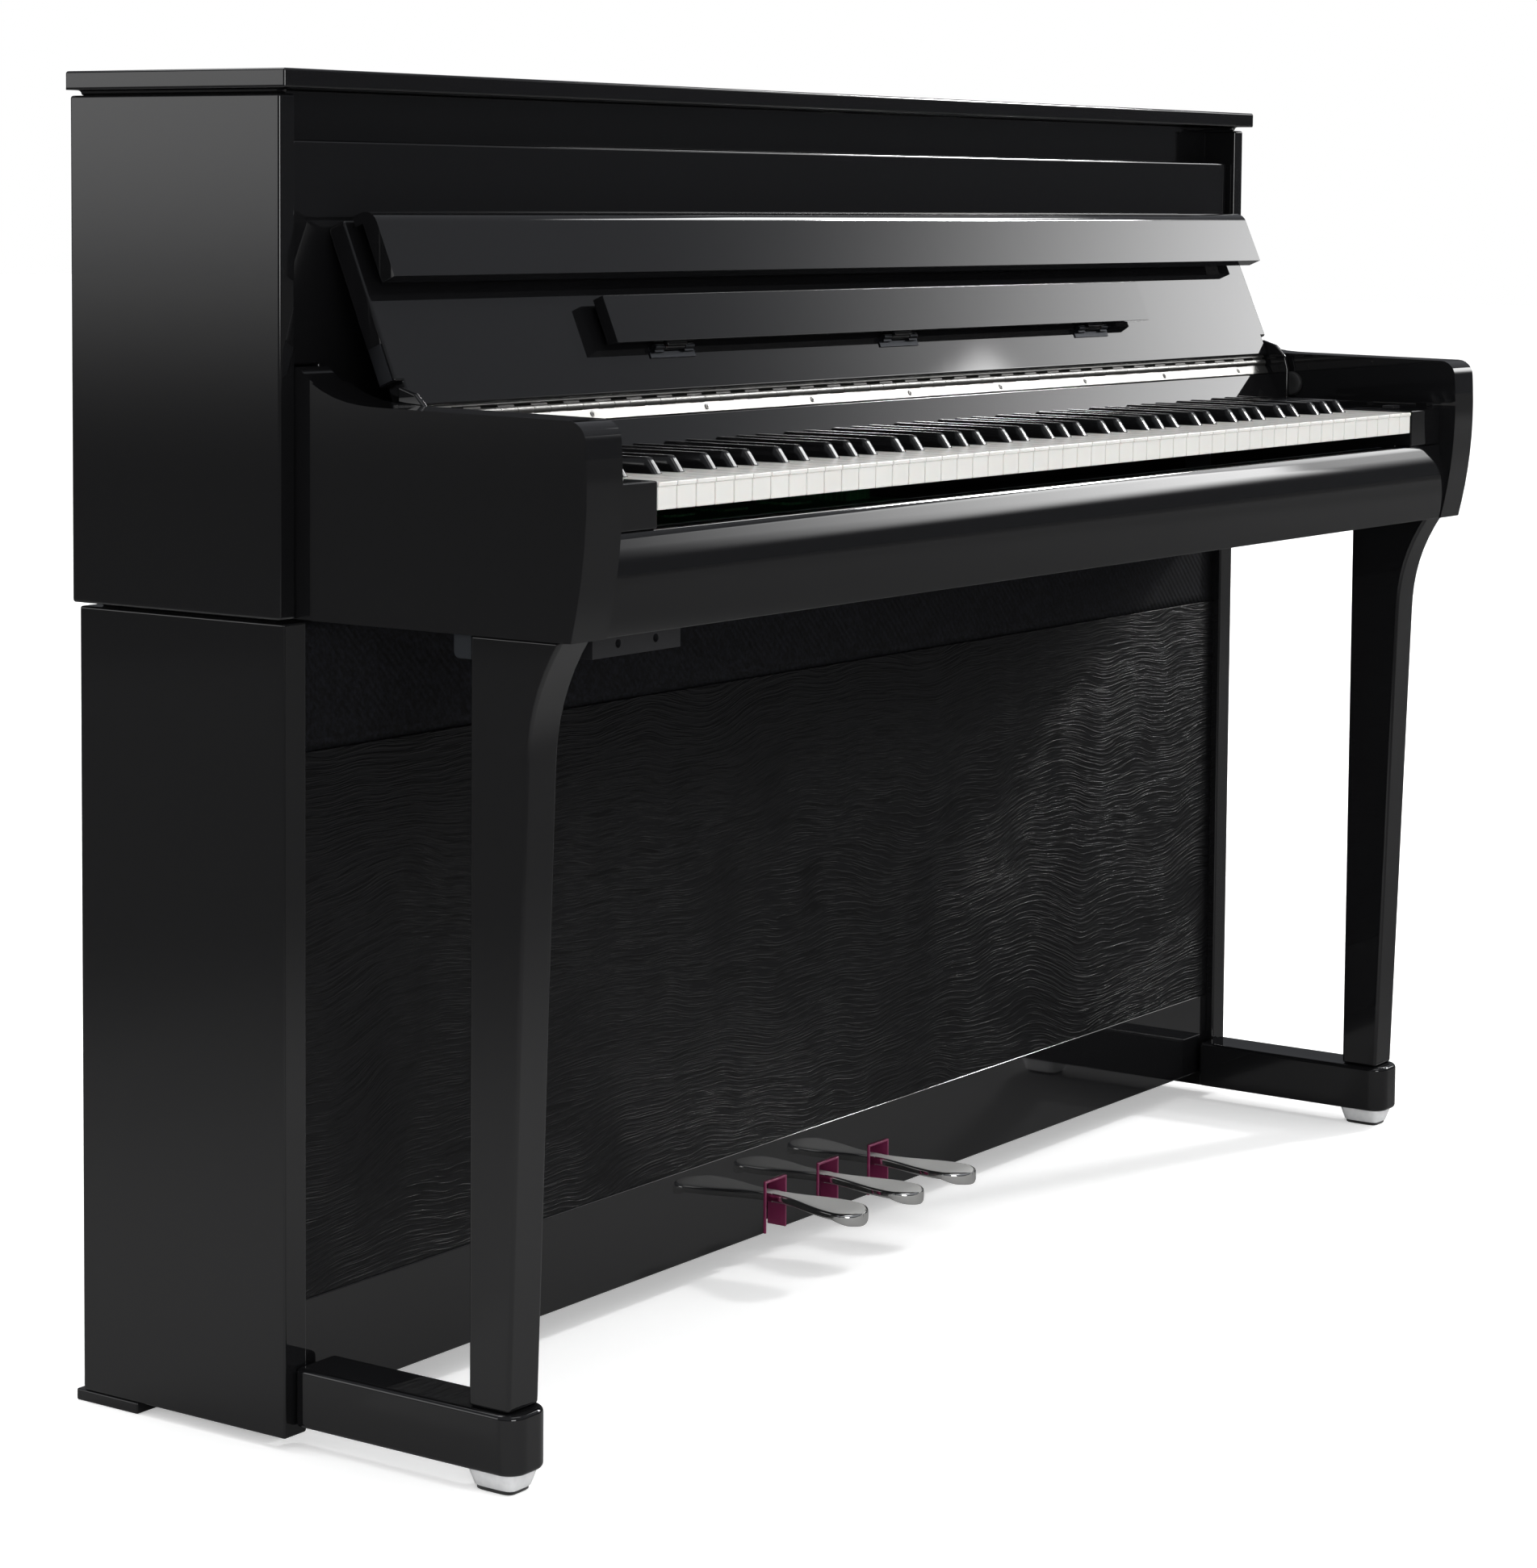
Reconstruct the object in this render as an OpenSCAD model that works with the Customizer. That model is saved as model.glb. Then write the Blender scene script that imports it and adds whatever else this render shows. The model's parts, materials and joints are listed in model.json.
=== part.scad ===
// Digital upright piano in polished black, built as separate pieces.
// Millimetres, +X to the player's right, -Y to the player, +Z up, floor at Z = 0.

/* [Cabinet] */
// Half width of the lid, the widest piece
lid_half = 735; // [730:1:745]
// Thickness of the lid
lid_t = 14; // [10:1:18]
// Height of the whole instrument
total_h = 1013; // [1000:1:1030]
// Rear face of the side panels, measured from the middle of the depth
side_back = 235.5; // [233:0.5:238]
// Outer half width of the upper sides
upper_half = 730.2; // [725:0.1:734]
// Thickness of the upper sides
upper_side_t = 16.7; // [14:0.1:18]
// Outer half width of the lower sides
lower_half = 724.5; // [720:0.5:728]
// Thickness of the lower sides
lower_side_t = 24.5; // [20:0.5:24.5]
// Underside of the keyboard unit
unit_z = 615.3; // [610:0.1:620]
// Shadow gap between the lower sides and the keyboard unit
shadow_gap = 3; // [2:0.5:4]
// Shadow gap between the upper sides and the lid
lid_gap = 4; // [3:0.5:6]

/* [Arms] */
// Inner half distance between the arms
arm_in = 675; // [672:0.5:678]
// Thickness of each arm
arm_t = 41; // [36:1:44]
// Foremost point of the arms, in front of the middle of the depth
arm_reach = 241; // [238:0.5:241]
// Height of the arm's top edge at its front
arm_top = 769.4; // [766:0.1:771]

/* [Keyboard] */
// Spacing of the white keys
key_pitch = 23.5; // [23.4:0.05:23.6]
// Gap between neighbouring keys
key_gap = 0.9; // [0.7:0.1:1.2]
// Top of the white keys
key_top = 721.3; // [720:0.1:722]
// Depth of a white key's front face
key_lip = 20.1; // [18:0.1:21]
// Front face of the white keys, in front of the middle of the depth
key_front = 224.6; // [223:0.1:225]
// Visible length of the white key heads in front of the black keys
head_len = 49; // [46:1:51]
// Width of a black key at its foot
sharp_w = 11.5; // [10.5:0.1:12]
// Height of a black key above the white keys
sharp_rise = 12; // [10:0.5:13]
// Radius of the rod on which the keys turn
rod_r = 2.5; // [2:0.1:3]

/* [Key cover] */
// Lean of the open cover from upright, in degrees
lean = 23.2; // [20:0.1:24]
// Half width of the cover board
cover_half = 673; // [670:0.5:673]
// Thickness of the cover board
cover_t = 17; // [14:0.5:17]
// Length of the cover board from its hinge to its fold
cover_len = 152; // [150:0.5:153]
// Width of the folding front flap
flap_w = 54.5; // [50:0.5:56]
// Half width of the music rest
rest_half = 418; // [380:1:440]

/* [Legs and feet] */
// Inner half distance between the legs
leg_in = 674; // [670:1:676]
// Width of each leg
leg_w = 35; // [30:1:38]
// Rear edge of the legs, in front of the middle of the depth
leg_back = 132.7; // [128:0.1:136]
// Top of the toe beams
toe_top = 60.8; // [56:0.1:62]
// Underside of the toe beams
toe_z = 16; // [14:1:18]
// Front of the toe beams, in front of the middle of the depth
toe_front = 178.7; // [175:0.1:182]

/* [Pedals] */
// Spacing of the pedals
pedal_pitch = 81.5; // [78:0.5:84]
// Length of the pedal blades in front of the kickboard
blade_len = 98; // [90:1:102]
// Greatest half width of a pedal blade
blade_half = 20.5; // [18:0.5:22]
// Top of the pedal blades
blade_top = 60; // [58:1:62]
// Thickness of the pedal blades
blade_t = 8; // [6:0.5:9]

/* [Hidden] */
$fn = 64;
eps = 0.01;
black = "#131315";
satin = "#1b1b1d";
steel = "#c9cacc";
panel_gap = 0.1;

side_top = total_h - lid_t - lid_gap;
lid_z = total_h - lid_t;
lid_front = 17;
lower_in = lower_half - lower_side_t;
upper_in = upper_half - upper_side_t;
side_front_low = 28;
side_front_up = 26.4;
side_base = 9;
inner_half = upper_in - panel_gap;
rear_out = 233;
rear_t = 12;
rear_in = rear_out - rear_t;

panel_front = 34;
panel_t = 16;
panel_top = 962.5;
panel_low_half = 680;
fascia_front = 62;
fascia_base = 925;

glide_x = 692;
glide_y = -151;
pad_t = 3;

bed_top = unit_z + 20;
bed_front = -208;
slip_front = -231.4;
slip_bulge = 655;
tongue_in = 681;
tongue_front = 9;
tongue_back = 46;
kick_front = 36;
kick_t = 18;
kick_base = 26.2;
kick_top = 106;
wood_top = 514.5;
wood_t = 12;
cloth_front = 37;
cloth_t = 8;
low_top = unit_z - shadow_gap;

axis_y = -38;
axis_z = 762.5;
plane_off = 6.3;
knuckle_r = 3.2;
pin_r = 1.6;
turn_gap = 0.05;
hinge_half = 660;
knuckles = 66;
knuckle_w = 2 * hinge_half / knuckles;
end_gap = 0.4;
leaf_gap = 3.5;
leaf_slope = 27.3;
leaf_t = 1.2;
leaf_len = 11.6;
board_s = 6;
notch_x = 664;
notch_h = 26;
back_r = 4;
rail_half = 665;
board_top = 12;
board_end = 43;
board_t = 8;
rail_base = 744;
rail_top = 757;
cheek_front = -62.5;
cheek_out = 670;
fold_n = 3.5;
fold_s = 152.5;
fold_pin_r = 1.5;
heel_n = 4.5;
flap_t = 13;
flap_out = 25;
flap_base = cover_len - flap_w;
flap_round = 12;
flap_half = 668;
heel_s = 144;
fold_hinges = [for (i = [-2:2]) 280 * i];
lug_r = 2.8;
rest_s = 41.7;
rest_n = 3.5;
rest_out = 16.5;
rest_in = 6.2;
rest_top = 81.7;
rest_lug_r = 2.4;
rest_pin_r = 1;
rest_hinges = [-330, 0, 330];

keys_left = -26 * key_pitch;
pivot_y = 10;
pivot_z = 708;
key_back = 18;
slot_half = sharp_w / 2 + key_gap;
sharp_front = -key_front + head_len + 1;
sharp_back = -60;
sharp_shift = [-2.3, 2.3, 0, -3.4, 0, 3.4, 0];
first_single = 23;
last_single = 25;

block_top = 722.5;
slider_x = 638;
slider_y = -190;
button_y = -120;

shaft_y = 150;
shaft_z = blade_top - blade_t / 2;
shaft_r = 4;
side_bend = 9;
slot_w = 32.5;
slot_top = 72;
frame_base = 30;
frame_t = 3;
inlet_x = -546;
inlet_z = 670;
jack_r = 3.2;

ears = [-121, -pedal_pitch / 2, pedal_pitch / 2, 121];

// A block between two opposite corners.
module block(low, high) {
  translate(low) cube(high - low);
}

// The same block on the left and on the right.
module both_sides(low, high) {
  for (s = [0, 1]) mirror([s, 0, 0]) block(low, high);
}

// An outline in (Y, Z) carried along X from x0 to x1.
module along_x(x0, x1, outline) {
  translate([x0, 0, 0]) rotate([90, 0, 90]) linear_extrude(x1 - x0) polygon(outline);
}

// A round bar along X.
module bar_x(x0, x1, y, z, r) {
  translate([x0, y, z]) rotate([0, 90, 0]) cylinder(r = r, h = x1 - x0);
}

// Points of an arc in (Y, Z), from angle a0 to a1.
function arc(cy, cz, r, a0, a1, n = 8) =
  [for (i = [0:n]) let (a = a0 + (a1 - a0) * i / n) [cy + r * cos(a), cz + r * sin(a)]];

// ---- Cabinet ----

// The lid stands on a spacer strip along each side.
module top_lid() color(black) {
  block([-lid_half, lid_front, lid_z], [lid_half, side_back, total_h]);
  both_sides([upper_in + 2, side_front_up + 6, side_top + panel_gap],
    [upper_half - 5, side_back - 6, lid_z + eps]);
}

module top_fascia() color(satin)
  along_x(-inner_half, inner_half, [[fascia_front, lid_z], [fascia_front, 940],
    [panel_front + panel_t, 940], [panel_front + panel_t, fascia_base],
    [fascia_front + panel_t, fascia_base], [fascia_front + panel_t, lid_z]]);

module upper_front_panel() color(black) {
  block([-709.4, panel_front, 799], [709.4, panel_front + panel_t, panel_top]);
  block([-panel_low_half, panel_front, rail_base],
    [panel_low_half, panel_front + panel_t, 799 + eps]);
}

module upper_side() color(black)
  block([upper_in, side_front_up, unit_z], [upper_half, side_back, side_top]);

module upper_rear_panel() color(satin) difference() {
  block([-inner_half, rear_in, unit_z], [inner_half, rear_out, lid_z]);
  block([inlet_x - 15, rear_in - 1, inlet_z - 11], [inlet_x + 15, rear_out + 1, inlet_z + 11]);
}

module lower_side() color(black)
  block([lower_in, side_front_low, side_base], [lower_half, rear_out + 0.5, low_top]);

module lower_rear_panel() color(satin)
  block([-lower_in + panel_gap, rear_in, kick_base], [lower_in - panel_gap, rear_in + 10, low_top]);

module lower_front_panel() color("#17171a")
  block([-lower_in + panel_gap, kick_front, kick_top],
    [lower_in - panel_gap, kick_front + wood_t, wood_top]);

module speaker_grille() color("#26282e")
  block([-lower_in + panel_gap, cloth_front, wood_top],
    [lower_in - panel_gap, cloth_front + cloth_t, low_top]);

module kickboard() color(black) difference() {
  block([-lower_in + panel_gap, kick_front, kick_base],
    [lower_in - panel_gap, kick_front + kick_t, kick_top]);
  for (i = [-1:1])
    block([i * pedal_pitch - slot_w / 2, kick_front - 1, kick_base - 1],
      [i * pedal_pitch + slot_w / 2, kick_front + kick_t + 1, slot_top]);
}

module rear_foot_plates() color(satin)
  both_sides([lower_in, 177, 0], [lower_half, arm_reach, side_base]);

// ---- Keybed, slip and arms ----

module keybed() color("#2a2622") {
  block([-arm_in, bed_front, unit_z], [arm_in, panel_front, bed_top]);
  block([-panel_low_half, panel_front - eps, low_top], [panel_low_half, tongue_back + eps, bed_top]);
  block([-inner_half, tongue_back, low_top], [inner_half, rear_in, bed_top]);
}

// The slip's front swells to its foremost line, then rolls back faster towards the keys.
function slip_y(z) = slip_front + (z < slip_bulge ? 0.0031 : 0.008) * pow(z - slip_bulge, 2);

module key_slip() color(black)
  along_x(-arm_in, arm_in, concat([[bed_front, unit_z]],
    [for (z = [unit_z:5.2:683]) [slip_y(z), z]], [[-224.6, 685], [-222.6, 688], [bed_front, 688]]));

function arm_front_y(z) = -arm_reach + 0.001177 * pow(z - 722, 2);
function arm_top_z(y) = arm_top + 0.0154 * (y + 222) + 26 * pow(max(0, y + 63) / 88, 3);

module arm_plate() {
  along_x(arm_in, arm_in + arm_t, concat([[tongue_front, unit_z]],
    [for (z = [unit_z:16:744]) [arm_front_y(z), z]],
    arc(-224.5, arm_top - 15.4, 15.4, 180, 90, 6),
    [for (y = [-180:12:tongue_front - 3]) [y, arm_top_z(y)]],
    [[tongue_front, arm_top_z(tongue_front)]]));
  along_x(tongue_in, inner_half, concat(
    [[tongue_front - eps, unit_z + eps], [tongue_front - eps, arm_top_z(tongue_front) - eps]],
    [for (y = [12:4:24]) [y, arm_top_z(y)]], [[tongue_back, 798.9], [tongue_back, unit_z + eps]]));
}

module arm() color(black) difference() {
  arm_plate();
  // Clears the upper front panel above the tongue.
  block([tongue_in - 1, panel_front - panel_gap, 798.8], [inner_half + 1, tongue_back + 1, 820]);
}

// ---- Legs, toe beams, glides ----

function leg_front_y(z) = -169.6 - 0.0317 * (z - toe_top) - 27 * pow(max(0, z - 520) / 95, 2.3);

module leg() color(black)
  along_x(leg_in, leg_in + leg_w, concat([[-leg_back, unit_z], [-leg_back, toe_top]],
    [for (z = [toe_top, 520]) [leg_front_y(z), z]],
    [for (z = [532:12:604]) [leg_front_y(z), z]], [[leg_front_y(unit_z), unit_z]]));

module toe_beam() color(black) translate([0, 0, toe_z]) linear_extrude(toe_top - toe_z) {
  translate([670, 16 - toe_front]) square([44, toe_front - 16 + side_front_low]);
  translate([686, -toe_front]) square([12, 17]);
  for (x = [686, 698]) translate([x, 16 - toe_front]) circle(r = 16);
}

module glide_caps() color(steel)
  for (s = [-1, 1]) translate([s * glide_x, glide_y, pad_t]) linear_extrude(toe_z - pad_t)
    union() {
      square([34, 38], center = true);
      square([28, 44], center = true);
    }

module glide_pads() color("#1a1a1a")
  for (s = [-1, 1]) translate([s * glide_x, glide_y, 0]) linear_extrude(pad_t)
    square([26, 34], center = true);

module leg_brackets() color("#6f747a")
  for (s = [0, 1]) mirror([s, 0, 0])
    along_x(682, 708, concat([[-leg_back, unit_z], [-leg_back, 597]],
      arc(-121.7, 602, 5, -90, 0, 4), [[-116.7, unit_z]]));

// ---- Key cover, its hinges and the music rest ----

// Board frame: the hinge axis is the origin, +Z runs up the open board, -Y faces the player.
module on_cover() {
  translate([0, axis_y, axis_z]) rotate([-lean, 0, 0]) children();
}
// Board frame place of a point n in front of the board's face and s up from the axis.
function bn(n, s) = [-plane_off - n, s];

// World (Y, Z) of a point on the fixed leaf's slope, d from the axis and t behind its middle.
function on_slope(d, t) = [axis_y - d * sin(leaf_slope) + t * cos(leaf_slope),
  axis_z - d * cos(leaf_slope) - t * sin(leaf_slope)];

module cover_rail() color(satin)
  along_x(-rail_half, rail_half, [on_slope(4.5, leaf_t / 2), on_slope(board_top, leaf_t / 2),
    on_slope(board_top, leaf_t / 2 + board_t), [-37.7, rail_base], [panel_front, rail_base],
    [panel_front, rail_top], [-33, rail_top]]);

// It carries the leaf's slope on down to the keys.
module name_board() color(black)
  along_x(-rail_half, rail_half, [on_slope(board_top + panel_gap, leaf_t / 2),
    on_slope(board_end, leaf_t / 2), on_slope(board_end, leaf_t / 2) + [board_t, 0],
    on_slope(board_top + panel_gap, leaf_t / 2 + board_t - 2 * panel_gap)]);

// Left end of a knuckle; the next one starts end_gap after it ends.
function knuckle_x(i) = -hinge_half + i * knuckle_w + end_gap / 2;

module knuckle_row(first, bore) {
  for (i = [first:2:knuckles - 1]) difference() {
    bar_x(knuckle_x(i), knuckle_x(i + 1) - end_gap, 0, 0, knuckle_r);
    bar_x(knuckle_x(i) - 1, knuckle_x(i + 1) + 1, 0, 0, bore);
  }
}

module hinge_fixed_leaf() color(steel)
  translate([0, axis_y, axis_z]) rotate([-leaf_slope, 0, 0]) {
    knuckle_row(0, pin_r);
    block([-hinge_half, -leaf_t / 2, -leaf_len], [hinge_half, leaf_t / 2, -leaf_gap]);
    for (i = [0:2:knuckles - 1])
      block([knuckle_x(i), -leaf_t / 2, -leaf_gap - eps], [knuckle_x(i + 1) - end_gap, leaf_t / 2, -2.4]);
  }

module hinge_moving_leaf() color(steel) on_cover() {
  knuckle_row(1, pin_r + turn_gap);
  block([-hinge_half, -3, board_s - leaf_t], [hinge_half, 9, board_s]);
  for (i = [1:2:knuckles - 1])
    block([knuckle_x(i), -leaf_t / 2, 2.4], [knuckle_x(i + 1) - end_gap, leaf_t / 2, board_s - leaf_t + eps]);
}

module hinge_pin() color(steel)
  bar_x(-hinge_half, hinge_half, axis_y, axis_z, pin_r);

module key_cover_board() color(black) on_cover() difference() {
  along_x(-cover_half, cover_half, concat([bn(0, board_s), bn(0, cover_len)],
    arc(cover_t - plane_off - back_r, cover_len - back_r, back_r, 90, 0, 4), [bn(-cover_t, board_s)]));
  both_sides([notch_x, -plane_off - 1, board_s - 1], [cover_half + 1, cover_t, notch_h]);
}

// Steel plates on the two ends of the board, beside the hinge.
module cover_end_plates() color(steel) on_cover()
  both_sides([cover_half, 2 - plane_off, notch_h + 1], [cover_half + 1.4, cover_t - plane_off - 2.5, 56]);

// Folded flat against the board: a plate with a rounded edge and a heel at the fold.
module key_cover_flap() color(black) on_cover() {
  difference() {
    union() {
      along_x(-flap_half, flap_half, concat([bn(flap_out - flap_t, flap_base), bn(flap_out, flap_base)],
        [for (p = arc(flap_out - flap_round, cover_len - flap_round, flap_round, 0, 90, 6)) bn(p[0], p[1])],
        [bn(heel_n, cover_len), bn(heel_n, heel_s), bn(flap_out - flap_t, heel_s)]));
      for (x = fold_hinges) bar_x(x + 16, x + 36, -plane_off - fold_n, fold_s, lug_r);
    }
    for (x = fold_hinges) {
      bar_x(x + 15, x + 37, -plane_off - fold_n, fold_s, fold_pin_r + turn_gap);
      bar_x(x - 20.5, x + 15.5, -plane_off - fold_n, fold_s, lug_r + 0.4);
      bar_x(x + 36.5, x + 38.5, -plane_off - fold_n, fold_s, lug_r + 0.4);
    }
  }
}

// Leaves screwed to the board's face, with the pins riveted in.
module flap_hinge() color(steel) on_cover()
  for (x = fold_hinges) {
    block([x - 20, -plane_off - leaf_t, 136], [x + 40, -plane_off, 149]);
    block([x - 20, -plane_off - fold_n, 148], [x + 15, -plane_off, fold_s]);
    bar_x(x - 20, x + 15, -plane_off - fold_n, fold_s, lug_r);
    bar_x(x - 20, x + 38, -plane_off - fold_n, fold_s, fold_pin_r);
  }

module music_rest() color(black) on_cover() {
  along_x(-rest_half, rest_half, [bn(rest_in, rest_s + 2.7), bn(rest_out, rest_s + 0.7),
    bn(rest_out, rest_top), bn(rest_in, rest_top)]);
  for (x = rest_hinges) difference() {
    union() {
      bar_x(x - 13, x + 13, -plane_off - rest_n, rest_s, rest_lug_r);
      block([x - 13, -plane_off - 9, rest_s - 0.5], [x + 13, -plane_off - rest_n, rest_s + 1.5]);
      block([x - 13, -plane_off - 9, rest_s + 1], [x + 13, -plane_off - rest_in, rest_s + 6]);
    }
    bar_x(x - 14, x + 14, -plane_off - rest_n, rest_s, rest_pin_r + turn_gap);
  }
}

module music_rest_hinges() color(steel) on_cover()
  for (x = rest_hinges) {
    block([x - 30, -plane_off - 1, rest_s - 8], [x + 30, -plane_off, rest_s - 3]);
    for (s = [-1, 1]) {
      bar_x(x + s * 20 - 6, x + s * 20 + 6, -plane_off - rest_n, rest_s, rest_lug_r);
      block([x + s * 20 - 6, -plane_off - rest_n, rest_s - 4], [x + s * 20 + 6, -plane_off, rest_s]);
    }
    bar_x(x - 26, x + 26, -plane_off - rest_n, rest_s, rest_pin_r);
  }

// Plates beside the hinge ends, held off the arms by round rubber bumpers.
module cover_cheeks() color(satin)
  for (s = [0, 1]) mirror([s, 0, 0])
    along_x(rail_half, cheek_out, [[-33, 720], [cheek_front, 720], [cheek_front, 756], [-59, 770],
      [-49, 780], [-33, 785]]);

module cover_bumpers() color("#202022")
  for (s = [0, 1]) mirror([s, 0, 0]) bar_x(cheek_out, arm_in, cheek_front, 742, 12);

// ---- Keys ----

function white_x(i) = keys_left + i * key_pitch;
function note(i) = (i + 5) % 7;
function has_sharp(i) = i >= 0 && i < 51 && note(i) != 2 && note(i) != 6;
function sharp_x(i) = white_x(i + 1) + sharp_shift[note(i)];

module key_bore(x0, x1) {
  bar_x(x0 - 1, x1 + 1, pivot_y, pivot_z, rod_r + turn_gap);
}

// White key: a full-width head and a tail cut away beside the black keys.
module white_key(i) {
  x0 = white_x(i) + key_gap / 2;
  x1 = white_x(i + 1) - key_gap / 2;
  t0 = has_sharp(i - 1) ? sharp_x(i - 1) + slot_half : x0;
  t1 = has_sharp(i) ? sharp_x(i) - slot_half : x1;
  difference() {
    union() {
      block([x0, -key_front, key_top - key_lip], [x1, -key_front + head_len, key_top]);
      block([t0, -key_front + head_len - eps, key_top - key_lip], [t1, key_back, key_top]);
    }
    key_bore(t0, t1);
  }
}

// Black key: a cap that slopes at its front and a lower tail under the name board.
module black_key(i) {
  x0 = sharp_x(i) - sharp_w / 2;
  z0 = key_top - key_lip;
  top = key_top + sharp_rise;
  difference() {
    along_x(x0, x0 + sharp_w, [[sharp_front, z0], [sharp_front, key_top + 0.5],
      [sharp_front + 5, top - 1.5], [sharp_front + 7, top], [sharp_back, top],
      [sharp_back, key_top - 2], [key_back, key_top - 2], [key_back, z0]]);
    key_bore(x0, x0 + sharp_w);
  }
}

module white_keys() color("#e9e9e6")
  for (i = [0:51]) if (i < first_single || i > last_single) white_key(i);

module black_keys() color(black)
  for (i = [0:50]) if (has_sharp(i) && (i < first_single || i >= last_single)) black_key(i);

module key_frame() color("#8a8d90") {
  block([-611.5, -205, bed_top], [611.5, 22, bed_top + 3]);
  block([-611, -200, bed_top], [611, -190, 686]);
  for (s = [0, 1]) mirror([s, 0, 0]) difference() {
    block([611.5 - eps, -5, bed_top], [614.5, 22, 718]);
    bar_x(611, 615, pivot_y, pivot_z, rod_r);
  }
}

module key_pivot_rod() color(steel)
  bar_x(-614.5, 614.5, pivot_y, pivot_z, rod_r);

module key_blocks() color(satin) difference() {
  for (s = [0, 1]) mirror([s, 0, 0])
    along_x(612, arm_in, [[bed_front, bed_top], [bed_front, 688.2], [-key_front, 688.2],
      [-key_front, block_top], [-63.5, block_top], [-63.5, bed_top]]);
  block([slider_x - 3, slider_y - 6, 710], [slider_x + 3, slider_y + 40, block_top + 1]);
  block([slider_x - 8, button_y - 12, 712], [slider_x + 8, button_y + 12, block_top + 1]);
}

module volume_slider() color("#3a3a3c") {
  block([slider_x - 2.6, slider_y - 5, 712], [slider_x + 2.6, slider_y + 5, 723]);
  block([slider_x - 7, slider_y - 6, 722.7], [slider_x + 7, slider_y + 6, 726]);
}

module power_button() color("#3a3a3c")
  block([slider_x - 7.7, button_y - 11.7, 715], [slider_x + 7.7, button_y + 11.7, 724.5]);

// ---- Pedals ----

// Half width of a blade at share t of its length, from the slot to the tip.
function blade_w(t, half) = t < 0.78 ? 7 + (half - 7) * (1 - cos(180 * t / 0.78)) / 2
  : half * sqrt(max(0, 1 - pow((t - 0.78) / 0.22, 2)));

// The blade swings sideways by bend towards its tip.
module blade_outline(bend, half) {
  steps = 32;
  right = [for (i = [0:steps]) let (t = i / steps)
    [bend * t * t + blade_w(t, half), kick_front - blade_len * t]];
  left = [for (i = [steps - 1:-1:0]) let (t = i / steps)
    [bend * t * t - blade_w(t, half), kick_front - blade_len * t]];
  polygon(concat(right, left));
}

module pedal(x, bend, half) color(steel) translate([x, 0, 0]) difference() {
  union() {
    translate([0, 0, blade_top - blade_t]) linear_extrude(blade_t) blade_outline(bend, half);
    translate([0, 0, blade_top - blade_t - 5]) linear_extrude(blade_t) intersection() {
      blade_outline(bend, half);
      translate([-50, kick_front - blade_len - 1]) square([100, 0.16 * blade_len]);
    }
    block([-7, kick_front - 1, blade_top - blade_t], [7, shaft_y, blade_top]);
    bar_x(-10, 10, shaft_y, shaft_z, 9);
  }
  bar_x(-11, 11, shaft_y, shaft_z, shaft_r + turn_gap);
}

module pedal_shaft() color(steel)
  bar_x(-124, 124, shaft_y, shaft_z, shaft_r);

module pedal_frame() color("#4a4c4f") {
  block([-124, kick_front + kick_t, frame_base], [124, 178, frame_base + frame_t]);
  block([-124, kick_front + kick_t, frame_base], [124, kick_front + kick_t + frame_t, 40]);
  for (x = ears) difference() {
    block([x - 1.5, 138, frame_base], [x + 1.5, 164, 68]);
    bar_x(x - 2, x + 2, shaft_y, shaft_z, shaft_r);
  }
}

// Torsion springs wound round the shaft between each pedal and the next ear.
module pedal_springs() color("#77797c")
  for (i = [-1:1]) difference() {
    bar_x(i * pedal_pitch + 12, i * pedal_pitch + (i < 1 ? pedal_pitch / 2 : 39.5) - 1.5,
      shaft_y, shaft_z, 6.6);
    bar_x(i * pedal_pitch + 11, i * pedal_pitch + 42, shaft_y, shaft_z, shaft_r + 0.3);
  }

// Plastic edging round each pedal slot.
module pedal_slot_linings() color("#5c1f38")
  for (i = [-1:1]) difference() {
    block([i * pedal_pitch - slot_w / 2, kick_front - 1.2, kick_base],
      [i * pedal_pitch + slot_w / 2, kick_front + kick_t, slot_top]);
    block([i * pedal_pitch - slot_w / 2 + 2, kick_front - 3, kick_base - 1],
      [i * pedal_pitch + slot_w / 2 - 2, kick_front + kick_t + 2, slot_top - 2]);
  }

// ---- Inside and underneath ----

module speakers() color("#303236")
  for (x = [-560, -400, 400, 560]) translate([x, cloth_front + cloth_t, 562]) rotate([-90, 0, 0]) {
    r = abs(x) > 500 ? 26 : 44;
    cylinder(r = r, h = 6);
    cylinder(r = r * 0.82, h = 26);
    cylinder(r = r * 0.6, h = 44);
  }

module main_circuit_board() color("#1e5c35") {
  block([-200, 90, 645], [200, 200, 646.6]);
  for (x = [-180, 180], y = [100, 190]) translate([x, y, bed_top]) cylinder(r = 4, h = 10);
  for (x = [-120, -40, 60]) block([x, 125, 646.5], [x + 36, 161, 649]);
  block([130, 110, 646.5], [170, 180, 662]);
}

module ac_inlet() color(satin) translate([inlet_x, 0, inlet_z]) {
  difference() {
    union() {
      block([-15, 210, -11], [15, rear_out, 11]);
      block([-19, rear_out, -15], [19, rear_out + 2, 15]);
    }
    block([-12, 219, -8], [12, rear_out + 3, 8]);
  }
  for (s = [-1, 1]) translate([s * 5, 218.5, 0]) rotate([-90, 0, 0]) cylinder(r = 1.2, h = 8);
}

// Box for the headphone sockets, screwed under the keybed.
module jack_panel() color(satin) difference() {
  block([-655, -200, 597], [-550, -140, unit_z]);
  for (x = [-625, -580]) translate([x, -201, 606]) rotate([-90, 0, 0]) cylinder(r = jack_r, h = 31);
}

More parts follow.
